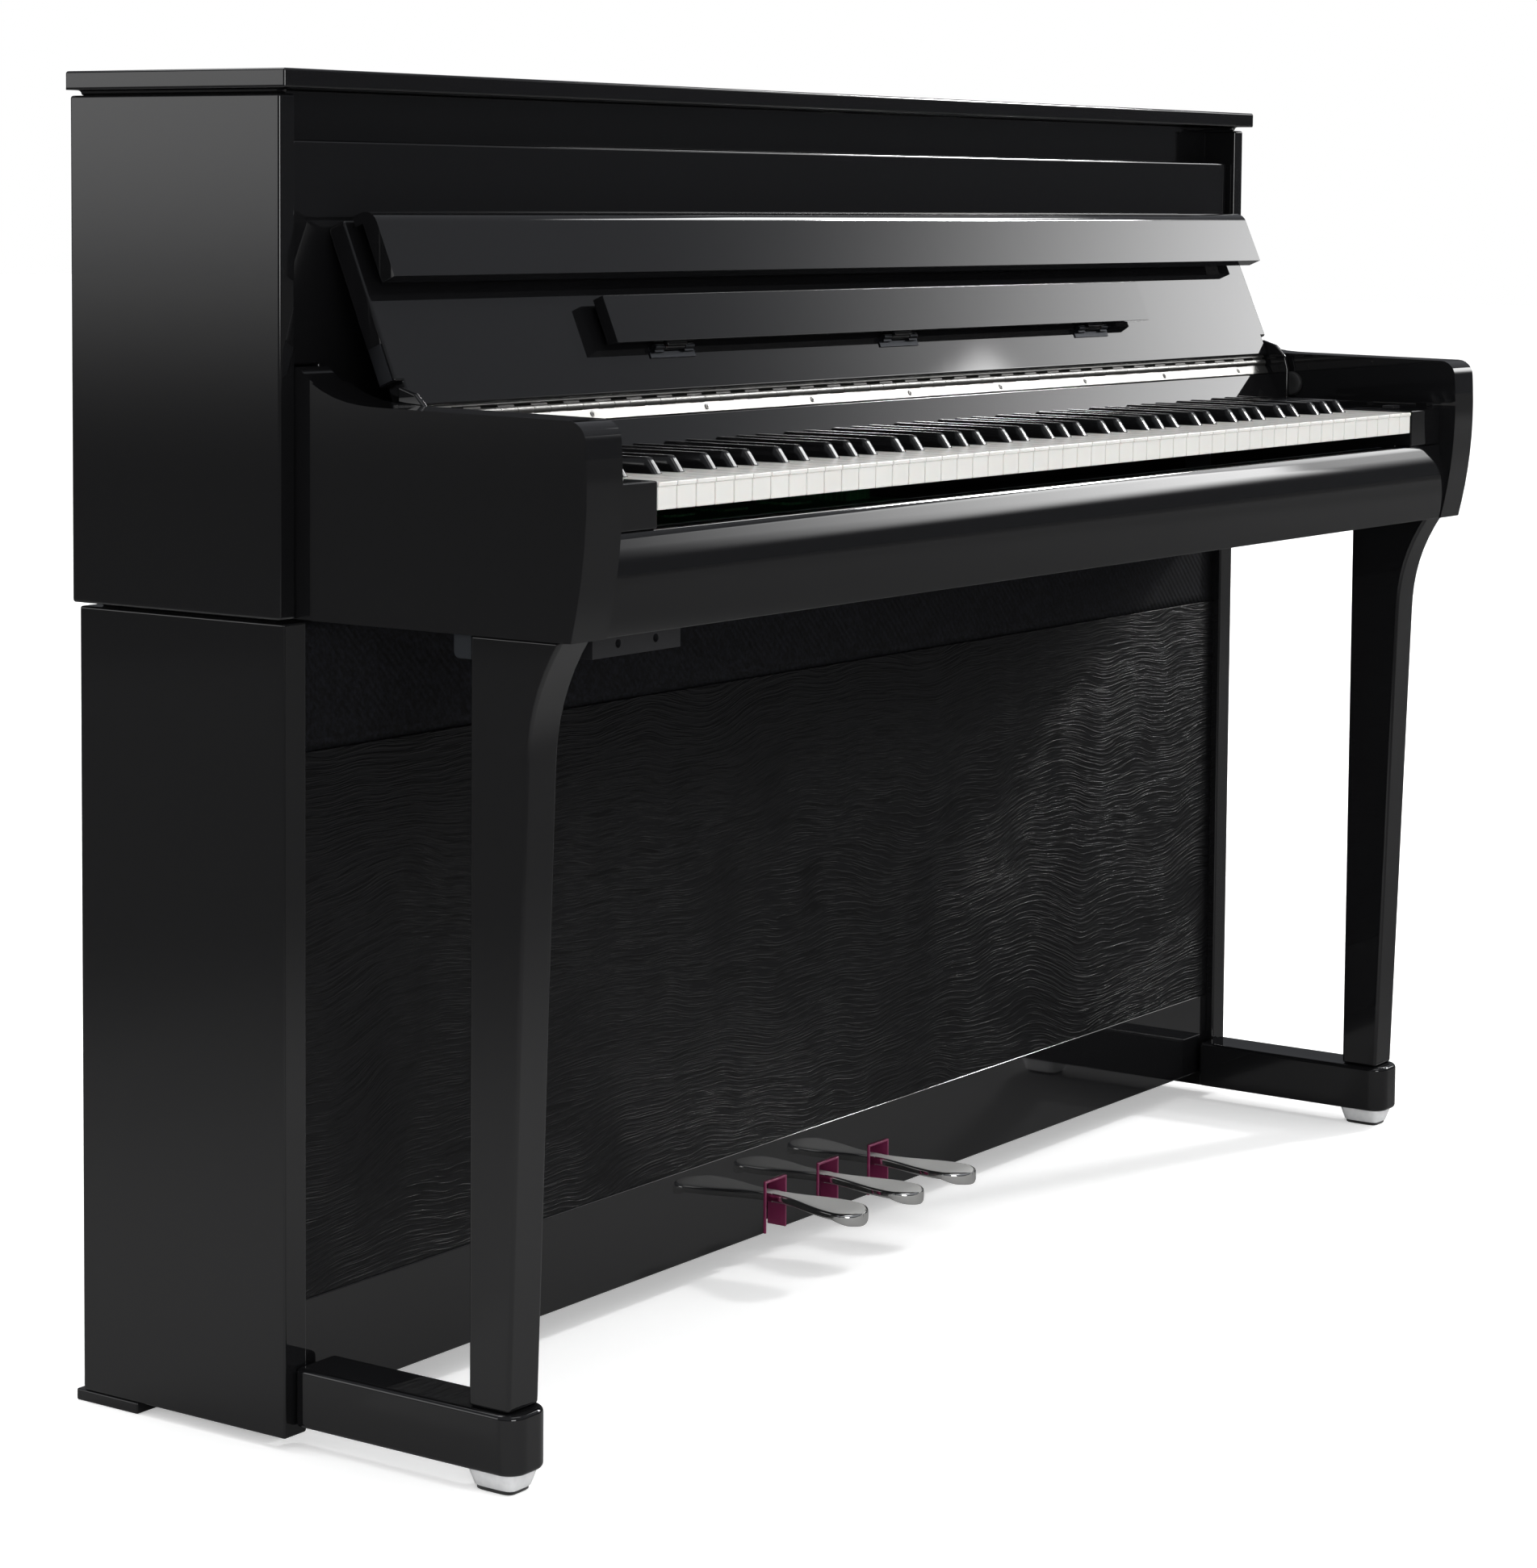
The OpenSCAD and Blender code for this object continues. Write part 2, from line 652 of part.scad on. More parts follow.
top_lid();
top_fascia();
upper_front_panel();
mirror([1, 0, 0]) upper_side();  // left_upper_side
upper_side();  // right_upper_side
upper_rear_panel();
mirror([1, 0, 0]) lower_side();  // left_lower_side
lower_side();  // right_lower_side
lower_rear_panel();
lower_front_panel();
speaker_grille();
kickboard();
keybed();
key_slip();
mirror([1, 0, 0]) arm();  // left_arm
arm();  // right_arm
key_blocks();
mirror([1, 0, 0]) leg();  // left_leg
leg();  // right_leg
mirror([1, 0, 0]) toe_beam();  // left_toe_beam
toe_beam();  // right_toe_beam
glide_caps();
glide_pads();
rear_foot_plates();
leg_brackets();
name_board();
cover_rail();
hinge_fixed_leaf();
hinge_moving_leaf();
hinge_pin();
key_cover_board();
key_cover_flap();
flap_hinge();
music_rest();
music_rest_hinges();
cover_end_plates();
cover_cheeks();
cover_bumpers();
pedal(-pedal_pitch, -side_bend, blade_half + 2.5);  // soft_pedal
pedal(0, 0, blade_half);  // sostenuto_pedal
pedal(pedal_pitch, side_bend / 2, blade_half + 1);  // damper_pedal
pedal_shaft();
pedal_frame();
pedal_springs();
pedal_slot_linings();
key_frame();
key_pivot_rod();
white_keys();
black_keys();
color("#e9e9e6") white_key(23);  // key_c4
color(black) black_key(23);  // key_c_sharp4
color("#e9e9e6") white_key(24);  // key_d4
color(black) black_key(24);  // key_d_sharp4
color("#e9e9e6") white_key(25);  // key_e4
speakers();
main_circuit_board();
power_button();
volume_slider();
ac_inlet();
jack_panel();
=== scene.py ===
import json

import bmesh
import bpy
import numpy as np
from mathutils import Matrix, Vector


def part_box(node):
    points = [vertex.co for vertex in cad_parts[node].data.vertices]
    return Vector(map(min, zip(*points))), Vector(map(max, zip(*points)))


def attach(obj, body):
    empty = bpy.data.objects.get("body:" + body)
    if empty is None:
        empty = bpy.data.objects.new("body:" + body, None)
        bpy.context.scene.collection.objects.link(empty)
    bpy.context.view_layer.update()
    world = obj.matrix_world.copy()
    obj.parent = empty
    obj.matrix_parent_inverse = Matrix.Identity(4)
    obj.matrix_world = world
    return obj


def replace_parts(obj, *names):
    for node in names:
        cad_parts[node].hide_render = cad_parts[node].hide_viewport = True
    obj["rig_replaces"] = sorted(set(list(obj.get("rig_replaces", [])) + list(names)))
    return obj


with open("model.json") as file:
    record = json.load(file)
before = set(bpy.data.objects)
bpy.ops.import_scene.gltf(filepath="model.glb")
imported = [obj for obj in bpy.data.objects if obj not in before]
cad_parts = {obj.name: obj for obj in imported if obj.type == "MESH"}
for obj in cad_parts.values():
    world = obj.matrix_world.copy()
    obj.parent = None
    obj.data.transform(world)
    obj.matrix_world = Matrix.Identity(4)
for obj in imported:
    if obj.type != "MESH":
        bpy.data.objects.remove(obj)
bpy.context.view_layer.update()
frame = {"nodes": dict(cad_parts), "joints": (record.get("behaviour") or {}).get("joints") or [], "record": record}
MM = 0.001


# ---------------------------------------------------------------- Camera
# Stands in front of the left end, a little below the lid, and looks slightly down. Its lens is shifted
# too, so that the verticals stay almost parallel.
def look_matrix(yaw, pitch, roll, place):
    """Camera axes: ahead is +Y turned by yaw and tilted by pitch, and roll turns right and up round it."""
    yaw, pitch, roll = np.radians([yaw, pitch, roll])
    ahead = np.array([-np.sin(yaw) * np.cos(pitch), np.cos(yaw) * np.cos(pitch), np.sin(pitch)])
    right = np.array([np.cos(yaw), np.sin(yaw), 0.0])
    up = np.cross(right, ahead)
    across = np.cos(roll) * right + np.sin(roll) * up
    upright = -np.sin(roll) * right + np.cos(roll) * up
    m = np.eye(4)
    m[:3, 0], m[:3, 1], m[:3, 2], m[:3, 3] = across, upright, -ahead, place
    return Matrix(m)


def link(obj):
    """Puts an object in the scene."""
    bpy.context.scene.collection.objects.link(obj)
    return obj


camera = link(bpy.data.objects.new("camera", bpy.data.cameras.new("camera")))
camera.matrix_world = look_matrix(-55.17, -4.23, 0.46, (-2.8256, -1.8603, 0.9228))
camera.data.lens = 89.37
camera.data.sensor_width = 36
camera.data.shift_y = -0.19
camera.data.clip_end = 100
bpy.context.scene.camera = camera
bpy.context.scene.view_settings.view_transform = "Standard"


# ---------------------------------------------------------------- Studio
# A pale floor in a white room, and soft panels of light. In gloss the room is dim, as if hung with dark cloth, so
# that mostly the panels show in the black faces, and the floor is painted grey for glossy rays, a painted shade
# that darkens away from the piano.
def srgb(code):
    """A colour from its sRGB hex code, in linear light: the sRGB curve is undone for each channel."""
    c = np.array([int(code[i:i + 2], 16) for i in (1, 3, 5)]) / 255
    return (*np.where(c <= 0.04045, c / 12.92, ((c + 0.055) / 1.055) ** 2.4), 1.0)


def add(tree, kind, values=None, links=None, **settings):
    """Adds a node with its settings, the values of its sockets and the links into them."""
    node = tree.nodes.new(kind)
    for name, value in settings.items():
        setattr(node, name, value)
    for name, value in (values or {}).items():
        node.inputs[name].default_value = value
    for name, output in (links or {}).items():
        tree.links.new(output, node.inputs[name])
    return node


def new_material(name, **values):
    """A material with a Principled shader whose sockets are set by name, with _ for a space."""
    material = bpy.data.materials.new(name)
    material.use_nodes = True
    shader = material.node_tree.nodes["Principled BSDF"]
    for socket, value in values.items():
        shader.inputs[socket.replace("_", " ")].default_value = value
    return material, material.node_tree, shader


def mesh_object(name, verts, faces):
    """A new object in the scene, its mesh made from points and faces."""
    mesh = bpy.data.meshes.new(name)
    mesh.from_pydata(np.asarray(verts, float).tolist(), [], [list(f) for f in faces])
    return link(bpy.data.objects.new(name, mesh))


floor_half = 30
floor = mesh_object("floor", [(-floor_half, -floor_half, 0), (floor_half, -floor_half, 0),
                              (floor_half, floor_half, 0), (-floor_half, floor_half, 0)], [(0, 1, 2, 3)])
floor_paint, tree, shader = new_material("floor_paint", Roughness=0.9, Specular_IOR_Level=0.0)
place = add(tree, "ShaderNodeTexCoord").outputs["Object"]
# What the lacquer reflects of the floor is painted shade: for glossy rays its colour drops from 0.44 grey near the
# piano to 0.13 further off.
away = add(tree, "ShaderNodeVectorMath", {1: (-0.8, -0.2, 0.0)}, {0: place}, operation="DISTANCE")
floor_reflected_shade = add(tree, "ShaderNodeMapRange", {"From Min": 2.4, "From Max": 0.4, "To Min": 0.13, "To Max": 0.44},
           {"Value": away.outputs["Value"]}, interpolation_type="SMOOTHERSTEP")
rays = add(tree, "ShaderNodeLightPath")
shade = add(tree, "ShaderNodeMix", {"A": 1.0},
            {"Factor": rays.outputs["Is Glossy Ray"], "B": floor_reflected_shade.outputs[0]})
grey = add(tree, "ShaderNodeCombineColor", links={i: shade.outputs[0] for i in range(3)})
tree.links.new(grey.outputs[0], shader.inputs["Base Color"])
lift = add(tree, "ShaderNodeMath", {1: 0.35}, {0: rays.outputs["Is Camera Ray"]}, operation="MULTIPLY")
shader.inputs["Emission Color"].default_value = srgb("#ffffff")
tree.links.new(lift.outputs[0], shader.inputs["Emission Strength"])
floor.data.materials.append(floor_paint)

world = bpy.data.worlds.new("studio")
bpy.context.scene.world = world
world.use_nodes = True
tree = world.node_tree
rays = add(tree, "ShaderNodeLightPath")
rise = add(tree, "ShaderNodeSeparateXYZ", links={0: add(tree, "ShaderNodeTexCoord").outputs["Generated"]})
below = add(tree, "ShaderNodeMapRange", {"From Min": -0.30, "From Max": -0.02, "To Min": 0.1, "To Max": 0.0},
            {"Value": rise.outputs["Z"]}, interpolation_type="SMOOTHSTEP")
above = add(tree, "ShaderNodeMapRange", {"From Min": 0.1, "From Max": 0.5, "To Min": 0.08, "To Max": 0.3},
            {"Value": rise.outputs["Z"]}, interpolation_type="SMOOTHSTEP")
gloss = add(tree, "ShaderNodeMath", links={0: below.outputs[0], 1: above.outputs[0]}, operation="ADD")
dim = add(tree, "ShaderNodeBackground", {"Color": srgb("#ffffff"), "Strength": 0.8})
dark = add(tree, "ShaderNodeBackground", {"Color": srgb("#f4f7ff")}, {"Strength": gloss.outputs[0]})
bright = add(tree, "ShaderNodeBackground", {"Color": srgb("#ffffff"), "Strength": 1.0})
gloss_mix = add(tree, "ShaderNodeMixShader", links={0: rays.outputs["Is Glossy Ray"], 1: dim.outputs[0],
                                                    2: dark.outputs[0]})
seen_mix = add(tree, "ShaderNodeMixShader", links={0: rays.outputs["Is Camera Ray"], 1: gloss_mix.outputs[0],
                                                   2: bright.outputs[0]})
tree.links.new(seen_mix.outputs[0], tree.nodes["World Output"].inputs["Surface"])


def light_panel(name, place, aim, width, height, strength, fade):
    """A glowing sheet that faces aim. Its light fades to nothing over a share of its width or height
    at the left, right, bottom and top edges, as fade says: the product of four smooth steps."""
    place, aim = np.array(place, float), np.array(aim, float)
    ahead = (aim - place) / np.linalg.norm(aim - place)
    right = np.cross(ahead, (0, 0, 1))
    right /= np.linalg.norm(right)
    m = np.eye(4)
    m[:3, 0], m[:3, 1], m[:3, 2], m[:3, 3] = right, np.cross(right, ahead), -ahead, place
    x, y = width / 2, height / 2
    panel = mesh_object(name, [(-x, -y, 0), (x, -y, 0), (x, y, 0), (-x, y, 0)], [(0, 1, 2, 3)])
    panel.matrix_world = Matrix(m)
    material = bpy.data.materials.new(name)
    material.use_nodes = True
    tree = material.node_tree
    tree.nodes.clear()
    point = add(tree, "ShaderNodeTexCoord").outputs["Object"]
    axes = add(tree, "ShaderNodeSeparateXYZ", links={0: point})
    level = None
    for axis, half, low, high in (("X", x, fade[0], fade[1]), ("Y", y, fade[2], fade[3])):
        for edge, share in ((-half, low), (half, high)):
            inner = edge * (1 - 2 * max(share, 0.001))
            step = add(tree, "ShaderNodeMapRange", {"From Min": edge, "From Max": inner},
                       {"Value": axes.outputs[axis]}, interpolation_type="SMOOTHERSTEP").outputs[0]
            level = step if level is None else add(tree, "ShaderNodeMath", links={0: level, 1: step},
                                                   operation="MULTIPLY").outputs[0]
    power = add(tree, "ShaderNodeMath", {1: strength}, {0: level}, operation="MULTIPLY")
    lit_side = add(tree, "ShaderNodeNewGeometry").outputs["Backfacing"]
    shown = add(tree, "ShaderNodeMath", links={0: power.outputs[0], 1: lit_side}, operation="MULTIPLY")
    glow = add(tree, "ShaderNodeEmission", links={"Strength": shown.outputs[0]})
    clear = add(tree, "ShaderNodeBsdfTransparent")
    both = add(tree, "ShaderNodeAddShader", links={0: glow.outputs[0], 1: clear.outputs[0]})
    out = add(tree, "ShaderNodeOutputMaterial", links={"Surface": both.outputs[0]})
    out.is_active_output = True
    panel.data.materials.append(material)
    panel.visible_camera = False


# The key panel hangs past the right end and greys the leaning boards, less and less to the left.
light_panel("key_panel", (4.39, -1.95, 2.335), (0.12, -0.11, 0.525), 1.7, 2.4, 6.0, (1.0, 0.02, 0.4, 0.71))
# A small lamp rakes the grained panel from the same side, and the arm throws its shadow there.
light_panel("raking_lamp", (10.1, -3.4, 6.05), (0.1, 0, 0.35), 1.0, 1.0, 200.0, (0.1, 0.1, 0.1, 0.1))
# A tall panel behind the left end greys the top of the left side.
light_panel("left_panel", (-4.4, 3.6, 1.5), (-0.7, 0, 1.5), 2.6, 2.4, 1.9, (0.1, 0.1, 0.4, 0.1))
# An overhead panel draws the edges of the lid and arms.
light_panel("top_panel", (-0.6, -1.6, 3.4), (0, -0.1, 0.7), 3.2, 1.6, 1.5, (0.3, 0.3, 0.3, 0.3))
# A lower panel to the right greys the upper part of the round slip.
light_panel("slip_panel", (4.1, -2.8, 2.0), (0, -0.23, 0.68), 1.8, 1.3, 6.0, (1.0, 0.05, 0.5, 0.1))
# One more, high to the right, whitens the sloped fronts of the black keys.
light_panel("sharp_panel", (4.25, -1.0, 3.65), (0, -0.17, 0.73), 1.3, 0.9, 9.0, (0.05, 0.05, 0.1, 0.1))
# Two panels behind the camera and behind the lid draw thin lines along the rounded edges.
light_panel("edge_panel", (-4.6, -5.6, 1.5), (-0.3, 0, 0.7), 3.4, 2.2, 9.0, (0.2, 0.2, 0.2, 0.2))
light_panel("back_panel", (-0.3, 1.8, 3.4), (-0.2, -0.1, 0.75), 3.4, 1.4, 4.0, (0.2, 0.2, 0.3, 0.3))


# ---------------------------------------------------------------- Cabinet: lid, sides and panels
# Medium-density board under black polyester lacquer, sprayed thick, sanded flat and buffed to a
# mirror. Edges are rounded before spraying, and each catches a thin line of light.
body_of = {n: b for b, nodes in frame["record"]["behaviour"]["bodies"].items() for n in nodes}


def dress(obj, node, material):
    """Gives a finished piece its material and body, and hides the CAD node it stands for."""
    obj.data.materials.clear()
    obj.data.materials.append(material)
    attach(obj, body_of[node])
    if not obj.get("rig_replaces"):
        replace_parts(obj, node)
    return obj


def rounded_copy(node, edge, material, steps=3, sharp=25):
    """The CAD mesh welded, its flat faces joined again, and edges over sharp degrees rounded to edge."""
    mesh = frame["nodes"][node].data.copy()
    mesh.name = node + "_finished"
    bm = bmesh.new()
    bm.from_mesh(mesh)
    bmesh.ops.remove_doubles(bm, verts=bm.verts, dist=1e-6)
    bmesh.ops.dissolve_limit(bm, angle_limit=np.radians(0.3), verts=bm.verts, edges=bm.edges)
    bm.to_mesh(mesh)
    bm.free()
    mesh.shade_smooth()
    obj = link(bpy.data.objects.new(node + "_finished", mesh))
    bevel = obj.modifiers.new("edges", "BEVEL")
    bevel.width = edge
    bevel.segments = steps
    bevel.limit_method = "ANGLE"
    bevel.angle_limit = np.radians(sharp)
    weigh = obj.modifiers.new("normals", "WEIGHTED_NORMAL")
    weigh.weight = 100
    return dress(obj, node, material)


def polished_lacquer(name, haze=0.035):
    """Black polyester: almost a mirror, with the long faint waves of a buffed coat and patches of haze."""
    material, tree, shader = new_material(name, Base_Color=srgb("#0e0e0f"), IOR=1.5)
    point = add(tree, "ShaderNodeTexCoord").outputs["Object"]
    patches = add(tree, "ShaderNodeTexNoise", {"Scale": 1 / (140 * MM), "Detail": 3.0}, {"Vector": point})
    rough = add(tree, "ShaderNodeMapRange", {"To Min": haze * 0.7, "To Max": haze * 1.4},
                {"Value": patches.outputs[0]})
    tree.links.new(rough.outputs[0], shader.inputs["Roughness"])
    waves = add(tree, "ShaderNodeTexNoise", {"Scale": 1 / (35 * MM), "Detail": 1.0}, {"Vector": point})
    bump = add(tree, "ShaderNodeBump", {"Strength": 0.012, "Distance": 1 * MM}, {"Height": waves.outputs[0]})
    tree.links.new(bump.outputs[0], shader.inputs["Normal"])
    return material


lacquer = polished_lacquer("polished_black_polyester")
for node, edge in (("top_lid", 4.5), ("left_upper_side", 2.2), ("right_upper_side", 2.2),
                   ("left_lower_side", 2.0), ("right_lower_side", 2.0), ("upper_front_panel", 2.5),
                   ("kickboard", 1.5)):
    rounded_copy(node, edge * MM, lacquer, 4)

# The strip under the lid has the same lacquer, buffed less, so its reflections are softer.
rounded_copy("top_fascia", 1.0 * MM, polished_lacquer("fascia_lacquer", 0.09))


# ---------------------------------------------------------------- Lower front panel
# A board veneered in open-pored ash, stained black and left matte: the pores run along the panel in
# long wavy lines, and raking light shows them as a fine relief.
grain, tree, shader = new_material("black_stained_ash", Base_Color=srgb("#08080a"), Roughness=0.42,
                                   Specular_IOR_Level=0.17)
point = add(tree, "ShaderNodeTexCoord").outputs["Object"]
sway = add(tree, "ShaderNodeTexNoise", {"Scale": 1 / (260 * MM), "Detail": 2.5}, {"Vector": point})
sway_height = add(tree, "ShaderNodeMath", {1: 0.11}, {0: sway.outputs[0]}, operation="MULTIPLY")
axes = add(tree, "ShaderNodeSeparateXYZ", links={0: point})
height = add(tree, "ShaderNodeMath", links={0: axes.outputs["Z"], 1: sway_height.outputs[0]}, operation="ADD")
along = add(tree, "ShaderNodeCombineXYZ", links={"X": axes.outputs["X"], "Z": height.outputs[0]})
stretch = add(tree, "ShaderNodeMapping", {"Scale": (1 / (60 * MM), 1.0, 1 / (2.4 * MM))},
              {"Vector": along.outputs[0]})
pores = add(tree, "ShaderNodeTexNoise", {"Scale": 1.0, "Detail": 2.0, "Roughness": 0.6},
            {"Vector": stretch.outputs[0]})
cut = add(tree, "ShaderNodeMapRange", {"From Min": 0.44, "From Max": 0.6}, {"Value": pores.outputs[0]})
bump = add(tree, "ShaderNodeBump", {"Strength": 0.75, "Distance": 0.6 * MM}, {"Height": cut.outputs[0]})
tree.links.new(bump.outputs[0], shader.inputs["Normal"])
tone = add(tree, "ShaderNodeMix", {"A": srgb("#09090b"), "B": srgb("#020203")},
           {"Factor": cut.outputs[0]}, data_type="RGBA")
tree.links.new(tone.outputs["Result"], shader.inputs["Base Color"])
rounded_copy("lower_front_panel", 0.8 * MM, grain)


# ---------------------------------------------------------------- Speaker cloth
# Blue-black acoustic cloth stretched on a frame under the keybed and let in flush with the panel.
# The real threads are 0.5 mm apart: they are drawn 2 mm apart, to show.
cloth, tree, shader = new_material("blue_black_speaker_cloth", Roughness=0.85, Specular_IOR_Level=0.17)
point = add(tree, "ShaderNodeTexCoord").outputs["Object"]
fleck = add(tree, "ShaderNodeTexNoise", {"Scale": 1 / (2.4 * MM), "Detail": 2.0}, {"Vector": point})
tint = add(tree, "ShaderNodeMix", {"A": srgb("#040405"), "B": srgb("#101117")}, data_type="RGBA")
spread = add(tree, "ShaderNodeMapRange", {"From Min": 0.4, "From Max": 0.7}, {"Value": fleck.outputs[0]})
tree.links.new(spread.outputs[0], tint.inputs["Factor"])
tree.links.new(tint.outputs["Result"], shader.inputs["Base Color"])
thread = add(tree, "ShaderNodeTexWave", {"Scale": 1 / (2 * MM) / 6.283, "Distortion": 0.6}, {"Vector": point},
             bands_direction="DIAGONAL")
bump = add(tree, "ShaderNodeBump", {"Strength": 0.5, "Distance": 0.4 * MM}, {"Height": thread.outputs["Fac"]})
tree.links.new(bump.outputs[0], shader.inputs["Normal"])


def cloth_panel(name, node, crown, columns=64, rows=12):
    """The front is a grid that bulges forward by crown: a power of half a sine wave along the panel
    times one up it, nearly flat inside and falling off at the edges. Its sides and back are flat."""
    low, high = (np.array(c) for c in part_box(node))
    u, v = np.meshgrid(np.linspace(0, 1, columns), np.linspace(0, 1, rows))
    x = low[0] + (high[0] - low[0]) * u
    z = low[2] + (high[2] - low[2]) * v
    y = low[1] + crown * (1 - np.sin(np.pi * u) ** 0.2 * np.sin(np.pi * v) ** 0.5)
    front = np.stack([x, y, z], -1).reshape(-1, 3)
    back = front * (1, 0, 1) + (0, high[1], 0)
    verts = np.concatenate([front, back])
    index = np.arange(columns * rows).reshape(rows, columns)
    quads = np.stack([index[:-1, :-1], index[:-1, 1:], index[1:, 1:], index[1:, :-1]], -1).reshape(-1, 4)
    rim = np.concatenate([index[0, :-1], index[:-1, -1], index[-1, :0:-1], index[:0:-1, 0]])
    after = np.roll(rim, -1)
    total = columns * rows
    sides = np.stack([after, rim, rim + total, after + total], -1)
    obj = mesh_object(name, verts, np.concatenate([quads, quads[:, ::-1] + total, sides]))
    obj.data.shade_smooth()
    return dress(obj, node, cloth)


cloth_panel("speaker_cloth", "speaker_grille", 0.8 * MM)


# ---------------------------------------------------------------- Rear panels and foot plates
# Thin board faced with matte black foil, screwed on from behind. The foil has a fine leather print.
foil, tree, shader = new_material("black_foil", Base_Color=srgb("#141416"), Roughness=0.55)
point = add(tree, "ShaderNodeTexCoord").outputs["Object"]
print_cells = add(tree, "ShaderNodeTexVoronoi", {"Scale": 1 / (2.5 * MM)}, {"Vector": point})
bump = add(tree, "ShaderNodeBump", {"Strength": 0.35, "Distance": 0.2 * MM},
           {"Height": print_cells.outputs["Distance"]})
tree.links.new(bump.outputs[0], shader.inputs["Normal"])
for node in ("upper_rear_panel", "lower_rear_panel"):
    rounded_copy(node, 0.6 * MM, foil, 2)
rounded_copy("rear_foot_plates", 1.5 * MM, lacquer)


def turned(profile, axis_point, axis, count=32):
    """A profile of (radius, distance along the axis) spun round an axis: each point makes one ring."""
    profile = np.asarray(profile, float)
    axis = np.asarray(axis, float) / np.linalg.norm(axis)
    side = np.cross(axis, (0.0, 0.0, 1.0) if abs(axis[2]) < 0.9 else (1.0, 0.0, 0.0))
    side /= np.linalg.norm(side)
    other = np.cross(axis, side)
    angle = np.linspace(0, 2 * np.pi, count, endpoint=False)
    ring = np.cos(angle)[:, None] * side + np.sin(angle)[:, None] * other
    verts = (np.asarray(axis_point) + profile[:, 1, None, None] * axis
             + profile[:, 0, None, None] * ring[None]).reshape(-1, 3)
    return verts, loop_faces(len(profile), count)


def loop_faces(rings, count):
    """Quads between successive rings of count points, and a cap on the first and the last ring."""
    index = np.arange(rings * count).reshape(rings, count)
    a, b = index[:-1], index[1:]
    quads = np.stack([a, np.roll(a, -1, 1), np.roll(b, -1, 1), b], -1).reshape(-1, 4).tolist()
    return quads + [index[0, ::-1].tolist(), index[-1].tolist()]


def joined(parts):
    """Several (verts, faces) as one, with the faces of each counted on from the one before."""
    verts, faces, start = [], [], 0
    for v, f in parts:
        verts.append(np.asarray(v))
        faces += [[i + start for i in face] for face in f]
        start += len(v)
    return np.concatenate(verts), faces


def outward(obj):
    """Turns every face of a closed mesh outwards."""
    bm = bmesh.new()
    bm.from_mesh(obj.data)
    bmesh.ops.recalc_face_normals(bm, faces=bm.faces)
    bm.to_mesh(obj.data)
    bm.free()
    return obj


def screw_head(place, normal, radius):
    """A round head with a cross recess: rings on a dome, a third as high as the radius, that is sunk
    where a point lies within the cross's arms."""
    place, normal = np.asarray(place, float), np.asarray(normal, float) / np.linalg.norm(normal)
    side = np.cross(normal, (1.0, 0.0, 0.0) if abs(normal[0]) < 0.9 else (0.0, 1.0, 0.0))
    side /= np.linalg.norm(side)
    other = np.cross(normal, side)
    sunk = 0.3
    r = np.array([1, 1, 0.86, 0.66, 0.6, 0.42, 0.3, 0.14])[:, None]
    angle = np.linspace(0, 2 * np.pi, 24, endpoint=False)[None]
    x, y = r * np.cos(angle), r * np.sin(angle)
    lift = 0.35 * np.sqrt(np.maximum(0, 1 - 0.8 * r ** 2)) + 0 * angle
    lift[0] = -sunk
    cross = (np.minimum(abs(x), abs(y)) < 0.15) & (np.maximum(abs(x), abs(y)) < 0.62)
    lift = np.where(cross, lift - sunk, lift)
    verts = place + radius * (x[..., None] * side + y[..., None] * other + lift[..., None] * normal)
    return verts.reshape(-1, 3), loop_faces(len(r), angle.shape[1])


# Blackened steel: a dull grey metal, with small scuffs where a driver has turned.
black_steel, tree, shader = new_material("blackened_screw_steel", Base_Color=srgb("#3a3c40"),
                                         Metallic=1.0, Roughness=0.4)
point = add(tree, "ShaderNodeTexCoord").outputs["Object"]
scuff = add(tree, "ShaderNodeTexNoise", {"Scale": 1 / (1.5 * MM), "Detail": 3.0}, {"Vector": point})
wear = add(tree, "ShaderNodeMapRange", {"To Min": 0.3, "To Max": 0.5}, {"Value": scuff.outputs[0]})
tree.links.new(wear.outputs[0], shader.inputs["Roughness"])


def screws(name, places, normal, radius, body, material):
    """Screw heads at the places, all facing along normal, as one piece."""
    obj = outward(mesh_object(name, *joined([screw_head(p, normal, radius) for p in places])))
    obj.data.shade_smooth()
    obj.data.materials.append(material)
    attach(obj, body)
    return obj


low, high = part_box("upper_rear_panel")
back_low, back_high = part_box("lower_rear_panel")
inset, per_row = 12 * MM, 9
rear_places = [(x, high[1], z) for x in np.linspace(low[0] + inset, high[0] - inset, per_row)
               for z in (low[2] + inset, high[2] - inset)]
rear_places += [(x, back_high[1], z) for x in np.linspace(back_low[0] + inset, back_high[0] - inset, per_row)
                for z in (back_low[2] + inset, back_high[2] - inset)]
screws("rear_screws", rear_places, (0, 1, 0), 3.6 * MM, "cabinet", black_steel)


# ---------------------------------------------------------------- Keybed, key slip and arms
# The keybed is board under flat black primer. The slip and the arms are lacquered: the slip's front
# swells and rolls back at its top, and each arm's edge turns a large corner and sweeps up to the side.
primer, tree, shader = new_material("black_primer_on_board", Base_Color=srgb("#131314"), Roughness=0.6)
point = add(tree, "ShaderNodeTexCoord").outputs["Object"]
fibre = add(tree, "ShaderNodeTexNoise", {"Scale": 1 / (1.2 * MM), "Detail": 3.0}, {"Vector": point})
bump = add(tree, "ShaderNodeBump", {"Strength": 0.2, "Distance": 0.2 * MM}, {"Height": fibre.outputs[0]})
tree.links.new(bump.outputs[0], shader.inputs["Normal"])
rounded_copy("keybed", 1.0 * MM, primer, 2)
rounded_copy("key_slip", 1.0 * MM, lacquer)
for node in ("left_arm", "right_arm"):
    rounded_copy(node, 3.0 * MM, lacquer, 4, 30)
rounded_copy("key_blocks", 1.5 * MM, lacquer)


